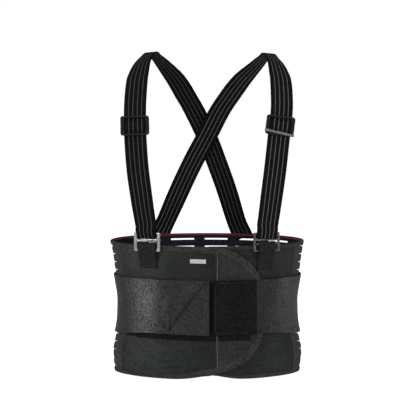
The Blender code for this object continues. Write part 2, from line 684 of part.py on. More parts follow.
class StrapPath:
    """A strap's centre line with arc length, tangent, width and face directions."""

    def __init__(self, side):
        angle = ANCHOR_ANGLE[side]
        control = list(STRAP_LINE[side])
        for z in ANCHOR_HEIGHTS:
            lean = (z - ANCHOR_MID_Z) * ANCHOR_LEAN[side]
            control.append(tuple(ring_point(angle + lean, z, ANCHOR_OFFSET)))
        self.points = spline(control)
        self.lengths = [0.0]
        for a, b in zip(self.points, self.points[1:]):
            self.lengths.append(self.lengths[-1] + (b - a).length)
        self.length = self.lengths[-1]
        self.apex = max(zip(self.points, self.lengths), key=lambda entry: entry[0].z)[1]
        normal = ring_normal(angle)
        self.front_width = front_width_direction(side)
        self.apex_width = Vector((APEX_WIDTH[0], SIDE_SIGN[side] * APEX_WIDTH[1], 0.0))
        self.rear_width = Vector((normal.y, -normal.x, 0.0))

    def point(self, along):
        along = min(max(along, 0.0), self.length)
        i = 0
        while i < len(self.lengths) - 2 and self.lengths[i + 1] < along:
            i += 1
        span = max(self.lengths[i + 1] - self.lengths[i], 1e-9)
        return self.points[i].lerp(self.points[i + 1], (along - self.lengths[i]) / span)

    def frame(self, along):
        """Point, tangent, width direction and face normal; at the front the normal
        points away from the wearer."""
        ahead, behind = self.point(along + TANGENT_REACH), self.point(along - TANGENT_REACH)
        tangent = (ahead - behind).normalized()
        leave_front = smooth(clamp01(along / END_BLEND))
        reach_rear = smooth(clamp01((along - (self.length - END_BLEND)) / REAR_TURN))
        from_apex = abs(along - self.apex)
        near_apex = clamp01(1.0 - (from_apex - APEX_FLAT) / APEX_FADE) ** APEX_POWER
        width = self.front_width.lerp(Vector((1, 0, 0)), leave_front)
        width = width.lerp(self.rear_width, reach_rear)
        width = width.lerp(self.apex_width, near_apex)
        width = (width - tangent * width.dot(tangent)).normalized()
        return self.point(along), tangent, width, width.cross(tangent).normalized()


def ribbon(name, path, start, end, thickness, step, parent=None):
    """Flat webbing along a stretch of a strap path."""
    count = max(2, int(round((end - start) / step)))
    verts, faces = [], []
    for i in range(count + 1):
        centre, _tangent, width, normal = path.frame(lerp(start, end, i / count))
        for across, out in ((-1, 1), (1, 1), (1, -1), (-1, -1)):
            verts.append(centre + width * (across * WEB_WIDTH / 2)
                         + normal * (out * thickness / 2))
    for i in range(count):
        for k in range(4):
            a, b = i * 4 + k, i * 4 + (k + 1) % 4
            # the webbing twists, so its two faces are split along the same diagonal
            if k == 2:
                faces += [[a, b, a + 4], [b, b + 4, a + 4]]
            else:
                faces += [[a, b, b + 4], [a, b + 4, a + 4]]
    last = count * 4
    faces.append([3, 2, 1, 0])
    faces.append([last, last + 1, last + 2, last + 3])
    closed_solid(name, verts, faces, "webbing", parent)


# ---------------------------------------------------------------- sliders and clips
SLIDER_ALONG = 0.157             # distance up the strap of the slider
SLIDER_WIDTH, SLIDER_HEIGHT, SLIDER_T = 0.0425, 0.0295, 0.0030
SLIDER_LIFT = 0.0009             # gap between webbing and slider
SLIDER_SIDE_BAR, SLIDER_END_BAR = 0.0042, 0.0045
SLIDER_MID_BAR = 0.0021          # half width of the middle bar
SLIDER_CORNER = 0.0022

# band of webbing round the slider's middle bar
BAND_CLEARANCE = 0.0004
BAND_WALL_EDGE, BAND_WALL_FACE = 0.0010, 0.0004  # at the bar's edges, over its faces
BAND_INNER_RADIUS, BAND_OUTER_RADIUS = 0.0008, 0.0009
BAND_CORNER_STEPS = 3
BAND_WIDTH = WEB_WIDTH - GAP

CLIP_CENTRE = {"left": (-0.0895, -0.0925, 0.2130), "right": (0.0880, -0.0925, 0.2130)}
CLIP_WIDTH, CLIP_HEIGHT, CLIP_T = 0.0415, 0.0284, 0.0024
CLIP_SIDE_BAR, CLIP_END_BAR = 0.0036, 0.0030
CLIP_MID_BAR = (0.0016, 0.0046)
CLIP_CORNER = 0.0011


def placement(origin, x_axis, y_axis, z_axis):
    matrix = Matrix((x_axis, y_axis, z_axis)).transposed().to_4x4()
    matrix.translation = origin
    return matrix


def barred_frame(name, size, side_bar, end_bar, mid_bar, corner, kind, place, parent):
    """A flat frame of (width, height, thickness) with an opening each side of a middle bar."""
    half_x, half_y, thickness = size[0] / 2, size[1] / 2, size[2]
    columns = [-half_x, -half_x + side_bar, half_x - side_bar, half_x]
    rows = [-half_y, -half_y + end_bar, *mid_bar, half_y - end_bar, half_y]
    openings = {(1, 1), (1, 3)}      # (column, row) of the cells left out
    bm = bmesh.new()
    grid = [[bm.verts.new((x, y, -thickness / 2)) for x in columns] for y in rows]
    for j in range(len(rows) - 1):
        for i in range(len(columns) - 1):
            if (i, j) not in openings:
                bm.faces.new([grid[j][i], grid[j][i + 1], grid[j + 1][i + 1], grid[j + 1][i]])
    extruded = bmesh.ops.extrude_face_region(bm, geom=bm.faces[:])
    top = [g for g in extruded["geom"] if isinstance(g, bmesh.types.BMVert)]
    bmesh.ops.translate(bm, verts=top, vec=(0, 0, thickness))
    bmesh.ops.recalc_face_normals(bm, faces=bm.faces)

    def is_outer_corner(edge):
        start, end = (v.co for v in edge.verts)
        return (abs((start - end).z) > thickness * 0.5
                and abs(abs(start.x) - half_x) < 1e-6
                and abs(abs(start.y) - half_y) < 1e-6)

    bmesh.ops.bevel(bm, geom=[e for e in bm.edges if is_outer_corner(e)], offset=corner,
                    segments=3, profile=0.5, affect="EDGES")
    mesh = bpy.data.meshes.new(name)
    bm.to_mesh(mesh)
    bm.free()
    finish(name, mesh, kind, parent, place)


def rounded_outline(half_y, half_z, radius):
    """Rectangle with rounded corners as (y, z) points."""
    points = []
    for sign_y, sign_z, start in ((1, 1, 0), (-1, 1, 90), (-1, -1, 180), (1, -1, 270)):
        for k in range(BAND_CORNER_STEPS + 1):
            turn = math.radians(start + 90 * k / BAND_CORNER_STEPS)
            points.append((sign_y * (half_y - radius) + radius * math.cos(turn),
                           sign_z * (half_z - radius) + radius * math.sin(turn)))
    return points


def webbing_band(name, place, parent):
    """A closed band round the slider's middle bar, drawn out along X."""
    half_y = SLIDER_MID_BAR + BAND_CLEARANCE
    half_z = SLIDER_T / 2 + BAND_CLEARANCE
    inner = rounded_outline(half_y, half_z, BAND_INNER_RADIUS)
    outer = rounded_outline(half_y + BAND_WALL_EDGE, half_z + BAND_WALL_FACE, BAND_OUTER_RADIUS)
    count = len(outer)
    far = 2 * count              # index shift to the far end
    verts = [(x, y, z) for x in (-BAND_WIDTH / 2, BAND_WIDTH / 2) for y, z in outer + inner]
    faces = []
    for i in range(count):
        j = (i + 1) % count
        faces.append([i, j, j + far, i + far])
        faces.append([i + count, i + count + far, j + count + far, j + count])
        faces.append([i, i + count, j + count, j])
        faces.append([i + far, j + far, j + count + far, i + count + far])
    closed_solid(name, verts, faces, "webbing", parent, place)


def build_slider(side, path):
    point, tangent, width, normal = path.frame(SLIDER_ALONG)
    centre = point + normal * (WEB_T + SLIDER_LIFT + SLIDER_T / 2)
    place = placement(centre, width, tangent, normal)
    seat = pivot(side + "_slider_seat", centre)
    barred_frame(side + "_slider_frame", (SLIDER_WIDTH, SLIDER_HEIGHT, SLIDER_T),
                 SLIDER_SIDE_BAR, SLIDER_END_BAR, (-SLIDER_MID_BAR, SLIDER_MID_BAR),
                 SLIDER_CORNER, "plastic", place, seat)
    webbing_band(side + "_slider_loop", place, seat)


def build_clip(side):
    """A flat metal frame with three bars, pivoting on its lowest bar."""
    x, y, z = CLIP_CENTRE[side]
    width, up = front_width_direction(side), Vector((0, 0, 1))
    place = placement(Vector((x, y, z)), width, up, width.cross(up))
    hinge = pivot(side + "_clip_hinge", (x, y, z - CLIP_HEIGHT / 2 + CLIP_END_BAR / 2))
    barred_frame(side + "_clip_ring", (CLIP_WIDTH, CLIP_HEIGHT, CLIP_T),
                 CLIP_SIDE_BAR, CLIP_END_BAR, CLIP_MID_BAR, CLIP_CORNER, "metal", place, hinge)


# ---------------------------------------------------------------- strap anchors
TAB_X = {"left": -0.0865, "right": 0.0845}
TAB_HALF_WIDTH = 0.01247         # along X
TAB_Z = {"left": (0.1735, 0.1965), "right": (0.1710, 0.1965)}
REAR_PATCH_SPREAD = 8.2          # half width in degrees
REAR_PATCH_Z = (0.1992, 0.2068)
REAR_PATCH_INNER, REAR_PATCH_T = 0.0115, 0.0010


def build_anchors(side, hinge):
    start = front_angle(TAB_X[side] - TAB_HALF_WIDTH)
    end = front_angle(TAB_X[side] + TAB_HALF_WIDTH)
    sheet(side + "_anchor_tab", side_by_side(start, end, *TAB_Z[side]),
          CLOTH + GAP, 2 * WEB_T, "webbing", hinge)
    angle = ANCHOR_ANGLE[side]
    sheet(side + "_rear_anchor_patch",
          side_by_side(angle - REAR_PATCH_SPREAD, angle + REAR_PATCH_SPREAD, *REAR_PATCH_Z),
          REAR_PATCH_INNER, REAR_PATCH_T, "panel")


def build_shoulder_strap(side, hinge):
    path = StrapPath(side)
    ribbon(side + "_strap_leg", path, STRAP_START, STRAP_BREAK - GAP, 2 * WEB_T, LEG_STEP, hinge)
    ribbon(side + "_shoulder_strap", path, STRAP_BREAK + GAP, path.length, WEB_T, SHOULDER_STEP)
    build_slider(side, path)
    build_clip(side)
    build_anchors(side, hinge)


# ---------------------------------------------------------------- the brace
def build_brace():
    clear_scene()
    left = pivot("left_side_fold", (-HINGE_X, 0, 0))
    right = pivot("right_side_fold", (HINGE_X, 0, 0))
    build_rear_panel()
    build_stays()
    build_left_half(left)
    build_right_half(right)
    build_closure_patches(left, right)
    build_left_face(left)
    build_left_pull(left)
    build_right_pull(right)
    build_rear_pulls()
    build_shoulder_strap("left", left)
    build_shoulder_strap("right", right)


build_brace()
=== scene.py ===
"""Looks of the back brace: every textile, the webbing, the sliders and the clip rings,
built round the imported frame."""
import bpy
import bmesh
import math
import random
import numpy as np
from mathutils import Vector, Matrix


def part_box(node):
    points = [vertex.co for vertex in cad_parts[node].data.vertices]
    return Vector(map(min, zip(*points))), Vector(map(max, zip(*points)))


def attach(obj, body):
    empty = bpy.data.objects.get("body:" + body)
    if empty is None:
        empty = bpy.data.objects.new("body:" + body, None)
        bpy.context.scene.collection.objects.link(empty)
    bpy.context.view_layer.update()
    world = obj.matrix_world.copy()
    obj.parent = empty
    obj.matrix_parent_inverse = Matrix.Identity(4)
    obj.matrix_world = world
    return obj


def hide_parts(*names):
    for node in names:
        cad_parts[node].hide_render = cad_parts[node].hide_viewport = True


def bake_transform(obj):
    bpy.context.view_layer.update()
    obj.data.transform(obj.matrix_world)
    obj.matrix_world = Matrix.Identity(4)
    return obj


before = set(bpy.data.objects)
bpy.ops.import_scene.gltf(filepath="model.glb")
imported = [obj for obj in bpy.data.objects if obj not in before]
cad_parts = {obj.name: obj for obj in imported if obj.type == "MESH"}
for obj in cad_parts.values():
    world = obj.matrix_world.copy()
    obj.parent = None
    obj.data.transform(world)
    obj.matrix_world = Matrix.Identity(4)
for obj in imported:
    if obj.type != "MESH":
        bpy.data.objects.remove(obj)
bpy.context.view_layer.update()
random.seed(7)

# ------------------------------------------------------------------ the ring
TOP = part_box("rear_top_binding")[1].z
PROFILE = [(0.0, 0.1428), (0.012, 0.1443), (0.024, 0.1457), (0.036, 0.1460),
           (0.055, 0.1423), (0.078, 0.1376), (0.100, 0.1361), (0.120, 0.1361),
           (0.143, 0.1395), (0.165, 0.1427), (0.186, 0.1456), (TOP, 0.1489)]
PZ = np.array([p[0] for p in PROFILE])
PA = np.array([p[1] for p in PROFILE])
# smooth tangents through the profile's stations
PM = np.gradient(PA, PZ)
RATIO = 0.70
A_REF = 0.1420
HINGE_X = 0.1530


def half_width(z):
    z = np.clip(np.asarray(z, float), PZ[0], PZ[-1])
    i = np.clip(np.searchsorted(PZ, z, side="right") - 1, 0, len(PZ) - 2)
    h = PZ[i + 1] - PZ[i]
    t = (z - PZ[i]) / h
    return ((2 * t ** 3 - 3 * t ** 2 + 1) * PA[i] + (t ** 3 - 2 * t ** 2 + t) * h * PM[i]
            + (-2 * t ** 3 + 3 * t ** 2) * PA[i + 1] + (t ** 3 - t ** 2) * h * PM[i + 1])


def ring(theta, z, off):
    """Points of the smooth ring: angle in degrees, height, distance outwards."""
    theta, z, off = np.broadcast_arrays(np.asarray(theta, float), np.asarray(z, float), np.asarray(off, float))
    a = half_width(z)
    b = a * RATIO
    t = np.radians(theta)
    n = np.stack([b * np.cos(t), a * np.sin(t), np.zeros_like(t)], -1)
    n /= np.linalg.norm(n, axis=-1, keepdims=True)
    p = np.stack([a * np.cos(t), b * np.sin(t), z], -1)
    return p + n * off[..., None]


# arc length round the ring against angle
_T = np.linspace(-90, 450, 5401)
_D = np.sqrt((A_REF * np.sin(np.radians(_T))) ** 2 + (A_REF * RATIO * np.cos(np.radians(_T))) ** 2) * np.radians(0.1)
_S = np.concatenate([[0], np.cumsum((_D[1:] + _D[:-1]) / 2)])


def s_of(theta):
    return np.interp(theta, _T, _S)


def th_of(s):
    return np.interp(s, _S, _T)


def th_front(x):
    return 270.0 + np.degrees(np.arcsin(np.asarray(x, float) / A_REF))


def th_at(x, z):
    return th_front(np.asarray(x) * A_REF / half_width(z))


def smooth(x, a, b):
    t = np.clip((np.asarray(x, float) - a) / (b - a), 0, 1)
    return t * t * (3 - 2 * t)


STEP_UP = 0.0043


def left_in(theta):
    return STEP_UP * smooth(theta, 253.5, 270.5)


def bottom_edge(theta):
    theta = np.asarray(theta, float)
    d = np.abs(theta - 270.0) / 90.0
    rise = 0.0066 * (1.0 - np.clip(d, 0, 1) ** 3)
    x = np.sin(np.radians(theta - 270.0)) * A_REF
    rise = rise + 0.0070 * np.exp(-((x - 0.004) / 0.029) ** 2)
    rise = rise * np.clip((90.0 - np.abs(theta - 270.0)) / 10.0, 0, 1)
    return np.where((theta <= 180.0) | (theta >= 360.0), 0.0, rise)


# ------------------------------------------------------------------ smooth noise
def _hash(ix, iy, seed):
    h = (ix * 374761393 + iy * 668265263 + seed * 974634777) & 0x7fffffff
    h = ((h ^ (h >> 13)) * 1274126177) & 0x7fffffff
    return ((h ^ (h >> 16)) & 0xffff) / 65535.0


def vnoise(x, y, seed=0):
    """Value noise in -1..1 on any arrays."""
    x, y = np.broadcast_arrays(np.asarray(x, float), np.asarray(y, float))
    ix, iy = np.floor(x).astype(np.int64), np.floor(y).astype(np.int64)
    fx, fy = x - ix, y - iy
    fx, fy = fx * fx * (3 - 2 * fx), fy * fy * (3 - 2 * fy)
    a, b = _hash(ix, iy, seed), _hash(ix + 1, iy, seed)
    c, d = _hash(ix, iy + 1, seed), _hash(ix + 1, iy + 1, seed)
    return 2 * ((a * (1 - fx) + b * fx) * (1 - fy) + (c * (1 - fx) + d * fx) * fy) - 1


# ------------------------------------------------------------------ materials
class Nodes:
    def __init__(self, name):
        self.mat = bpy.data.materials.new(name)
        self.mat.use_nodes = True
        self.t = self.mat.node_tree
        self.bsdf = self.t.nodes["Principled BSDF"]

    def node(self, kind, **kw):
        n = self.t.nodes.new(kind)
        for k, v in kw.items():
            setattr(n, k, v)
        return n

    def put(self, sock, v):
        if isinstance(v, (int, float)):
            sock.default_value = v
        elif isinstance(v, (tuple, list)):
            sock.default_value = (*v, 1.0) if len(v) == 3 and sock.type == "RGBA" else v
        else:
            self.t.links.new(v, sock)

    def math(self, op, a, b=0.0, c=None, clamp=False):
        n = self.node("ShaderNodeMath", operation=op, use_clamp=clamp)
        self.put(n.inputs[0], a)
        self.put(n.inputs[1], b)
        if c is not None:
            self.put(n.inputs[2], c)
        return n.outputs[0]

    def mix(self, f, a, b):
        n = self.node("ShaderNodeMix", data_type="RGBA")
        self.put(n.inputs["Factor"], f)
        self.put(n.inputs["A"], a)
        self.put(n.inputs["B"], b)
        return n.outputs["Result"]

    def uv_mm(self):
        uv = self.node("ShaderNodeUVMap")
        uv.uv_map = "UVMap"
        sep = self.node("ShaderNodeSeparateXYZ")
        self.t.links.new(uv.outputs[0], sep.inputs[0])
        return (self.math("MULTIPLY", sep.outputs[0], 1000.0), self.math("MULTIPLY", sep.outputs[1], 1000.0),
                uv.outputs[0])

    def noise(self, scale, detail=3.0, rough=0.55, vec=None, dist=0.0):
        n = self.node("ShaderNodeTexNoise")
        if vec is None:
            c = self.node("ShaderNodeTexCoord")
            vec = c.outputs["Object"]
        self.t.links.new(vec, n.inputs["Vector"])
        n.inputs["Scale"].default_value = scale
        n.inputs["Detail"].default_value = detail
        n.inputs["Roughness"].default_value = rough
        n.inputs["Distortion"].default_value = dist
        return n.outputs["Fac"]

    def scaled(self, sx, sy, sz=1.0):
        uv = self.node("ShaderNodeUVMap")
        uv.uv_map = "UVMap"
        m = self.node("ShaderNodeMapping")
        self.t.links.new(uv.outputs[0], m.inputs["Vector"])
        m.inputs["Scale"].default_value = (sx, sy, sz)
        return m.outputs[0]

    def wave(self, x, period, phase=0.0):
        """sin in 0..1 of a coordinate in millimetres"""
        a = self.math("MULTIPLY_ADD", x, 2 * math.pi / period, phase)
        return self.math("MULTIPLY_ADD", self.math("SINE", a), 0.5, 0.5)

    def band(self, x, centre, half, soft):
        """1 inside a band round a centre, soft at its edges"""
        d = self.math("ABSOLUTE", self.math("SUBTRACT", x, centre))
        n = self.node("ShaderNodeMapRange", clamp=True, interpolation_type="SMOOTHSTEP")
        self.put(n.inputs["Value"], d)
        n.inputs["From Min"].default_value = half + soft
        n.inputs["From Max"].default_value = max(half - soft, 0.0)
        n.inputs["To Min"].default_value = 0.0
        n.inputs["To Max"].default_value = 1.0
        return n.outputs["Result"]

    def remap(self, x, a, b, c, d):
        n = self.node("ShaderNodeMapRange", clamp=True)
        self.put(n.inputs["Value"], x)
        for k, v in zip(("From Min", "From Max", "To Min", "To Max"), (a, b, c, d)):
            n.inputs[k].default_value = v
        return n.outputs["Result"]

    def bump(self, height, dist, strength=1.0, normal=None):
        n = self.node("ShaderNodeBump")
        self.put(n.inputs["Height"], height)
        n.inputs["Distance"].default_value = dist
        n.inputs["Strength"].default_value = strength
        if normal is not None:
            self.t.links.new(normal, n.inputs["Normal"])
        return n.outputs["Normal"]

    def out(self, color, rough, normal=None, metal=0.0, spec=0.2, sheen=0.0, sheen_rough=0.5,
            sheen_tint=(1, 1, 1), aniso=0.0, coat=0.0):
        b = self.bsdf
        self.put(b.inputs["Base Color"], color)
        self.put(b.inputs["Roughness"], rough)
        self.put(b.inputs["Metallic"], metal)
        self.put(b.inputs["Specular IOR Level"], spec)
        self.put(b.inputs["Sheen Weight"], sheen)
        self.put(b.inputs["Sheen Roughness"], sheen_rough)
        self.put(b.inputs["Sheen Tint"], sheen_tint)
        self.put(b.inputs["Anisotropic"], aniso)
        self.put(b.inputs["Coat Weight"], coat)
        if normal is not None:
            self.put(b.inputs["Normal"], normal)
        return self.mat


def _shade_x(self, stops):
    """Painted light and shade across the wearer's width: a brightness ramp on the object's X that stands in for the
    studio lights' highlights and shaded zones (stops in metres).
    """
    c = self.node("ShaderNodeTexCoord")
    sp = self.node("ShaderNodeSeparateXYZ")
    self.t.links.new(c.outputs["Object"], sp.inputs[0])
    lo, hi = stops[0][0], stops[-1][0]
    top = max(v for _x, v in stops)
    ramp = self.node("ShaderNodeValToRGB")
    self.put(ramp.inputs["Fac"], self.remap(sp.outputs["X"], lo, hi, 0.0, 1.0))
    el = ramp.color_ramp.elements
    for e, v in ((el[0], stops[0][1]), (el[-1], stops[-1][1])):
        e.color = (v / top, v / top, v / top, 1.0)
    for x, v in stops[1:-1]:
        el.new((x - lo) / (hi - lo)).color = (v / top, v / top, v / top, 1.0)
    return self.math("MULTIPLY", ramp.outputs["Color"], top)


Nodes.shade_x = _shade_x


def scale_rgb(c, k):
    return tuple(x * k for x in c)


def cloth_material(name, base, pu=0.9, pv=0.7, weave="plain", depth=0.00012, rough=0.75, spec=0.18,
                   sheen=0.15, sheen_rough=0.4, sheen_tint=(1, 1, 1), mottle=0.22, grain=0.25,
                   grain_scale=900.0, streak=0.0, streak_v=0.0, shade=None):
    """A woven or knitted cloth: thread relief from the UVs (in metres), mottling, grain, streaks and optional painted
    light and shade across the width.
    """
    k = Nodes(name)
    u, v, _ = k.uv_mm()
    coarse = k.noise(grain_scale * 0.62, 3.0, 0.75)
    if weave == "plain":
        h = k.math("MULTIPLY", k.wave(u, pu), k.wave(v, pv))
        h2 = k.math("MULTIPLY", k.wave(u, pu, math.pi), k.wave(v, pv, math.pi))
        h = k.math("ADD", h, h2)
    elif weave == "twill":
        h = k.wave(k.math("ADD", u, v), pu)
        h = k.math("MULTIPLY_ADD", k.wave(v, pv), 0.35, h)
    elif weave == "rib_v":          # ribs standing upright
        h = k.math("MULTIPLY_ADD", k.wave(v, pv), 0.3, k.wave(u, pu))
    elif weave == "rib_h":          # ribs lying level
        h = k.math("MULTIPLY_ADD", k.wave(u, pu), 0.3, k.wave(v, pv))
    elif weave == "pile":
        h = k.noise(1400.0, 2.0, 0.7)
    else:
        h = k.wave(u, pu)
    big = k.noise(28.0, 3.0, 0.6)
    small = k.noise(grain_scale, 2.0, 0.6)
    tone = k.math("ADD", k.remap(big, 0.3, 0.7, 1 - mottle, 1 + mottle),
                  k.remap(small, 0.3, 0.7, -grain, grain))
    tone = k.math("ADD", tone, k.remap(h, 0.0, 1.0, -0.10, 0.08))
    tone = k.math("ADD", tone, k.remap(coarse, 0.35, 0.65, -grain * 0.75, grain * 0.75))
    # painted light and shade: the tone is scaled by a ramp across X that imitates highlights and shaded zones
    if shade:
        tone = k.math("MULTIPLY", tone, k.shade_x(shade))
    if streak:
        st = k.noise(1.0, 2.0, 0.5, k.scaled(35.0, 900.0))
        tone = k.math("ADD", tone, k.remap(st, 0.3, 0.7, -streak, streak))
    if streak_v:
        st = k.noise(1.0, 2.0, 0.5, k.scaled(900.0, 30.0))
        tone = k.math("ADD", tone, k.remap(st, 0.3, 0.7, -streak_v, streak_v))
    col = k.node("ShaderNodeVectorMath", operation="SCALE")
    col.inputs[0].default_value = base
    k.put(col.inputs["Scale"], k.math("MAXIMUM", tone, 0.05))
    r = k.math("ADD", k.remap(small, 0.3, 0.7, -0.05, 0.05), rough)
    n = k.bump(h, depth, 1.0)
    n = k.bump(small, depth * 2.2, 0.9, n)
    n = k.bump(big, 0.0015, 0.12, n)
    return k.out(col.outputs[0], r, n, spec=spec * 0.55, sheen=sheen * 0.22, sheen_rough=sheen_rough,
                 sheen_tint=sheen_tint)


def webbing_material(name, base, stripe, width_mm=33.0, gain=1.0, double=False):
    """Ribbed elastic webbing with four thin lengthwise stripes; U runs across, V along."""
    k = Nodes(name)
    u, v, _ = k.uv_mm()
    total = None
    for c in (0.205, 0.40, 0.60, 0.795):
        b = k.band(u, c * width_mm, 0.50, 0.42)
        total = b if total is None else k.math("MAXIMUM", total, b)
    dash = k.wave(v, 1.1)
    fade = k.noise(1.0, 3.0, 0.6, k.scaled(260.0, 40.0))
    total = k.math("MULTIPLY", total, k.math("MULTIPLY", k.remap(dash, 0, 1, 0.72, 1.0), k.remap(fade, 0.3, 0.7, 0.80, 1.1)))
    ribs = k.wave(u, 1.03)
    picks = k.wave(v, 0.75)
    small = k.noise(1100.0, 2.0, 0.6)
    tone = k.math("ADD", k.remap(ribs, 0, 1, 0.75, 1.15), k.remap(small, 0.3, 0.7, -0.25, 0.25))
    col = k.node("ShaderNodeVectorMath", operation="SCALE")
    col.inputs[0].default_value = base
    k.put(col.inputs["Scale"], tone)
    out = k.mix(k.math("MULTIPLY", total, gain), col.outputs[0], stripe)
    n = k.bump(k.math("MULTIPLY_ADD", picks, 0.5, ribs), 0.00016, 1.0)
    n = k.bump(small, 0.0001, 0.5, n)
    return k.out(out, k.remap(small, 0.3, 0.7, 0.62, 0.78), n, spec=0.05, sheen=0.0, sheen_rough=0.35)


def plastic_material(name, base, rough=0.42, spec=0.18):
    k = Nodes(name)
    small = k.noise(1500.0, 2.0, 0.5)
    big = k.noise(120.0, 3.0, 0.6)
    col = k.node("ShaderNodeVectorMath", operation="SCALE")
    col.inputs[0].default_value = base
    k.put(col.inputs["Scale"], k.remap(big, 0.3, 0.7, 0.8, 1.25))
    n = k.bump(small, 0.00005, 0.6)
    return k.out(col.outputs[0], k.math("ADD", k.remap(big, 0.3, 0.7, -0.08, 0.10), rough), n, spec=spec)


def metal_material(name, base, rough=0.28, along="X"):
    """Plated metal with fine brushing, small scuffs and darker worn spots."""
    k = Nodes(name)
    c = k.node("ShaderNodeTexCoord")
    m = k.node("ShaderNodeMapping")
    k.t.links.new(c.outputs["Object"], m.inputs["Vector"])
    m.inputs["Scale"].default_value = (60.0, 60.0, 2200.0) if along == "X" else (2200.0, 2200.0, 60.0)
    brush = k.noise(1.0, 3.0, 0.6, m.outputs[0])
    wear = k.noise(160.0, 4.0, 0.65)
    dark = k.remap(wear, 0.42, 0.62, 1.0, 0.62)
    col = k.node("ShaderNodeVectorMath", operation="SCALE")
    col.inputs[0].default_value = base
    k.put(col.inputs["Scale"], k.math("MULTIPLY", dark, k.remap(brush, 0.3, 0.7, 0.88, 1.08)))
    r = k.math("ADD", k.remap(brush, 0.3, 0.7, -0.06, 0.08), k.remap(wear, 0.4, 0.65, rough, rough + 0.18))
    return k.out(col.outputs[0], r, k.bump(brush, 0.00003, 0.5), metal=1.0, spec=0.5, aniso=0.4)


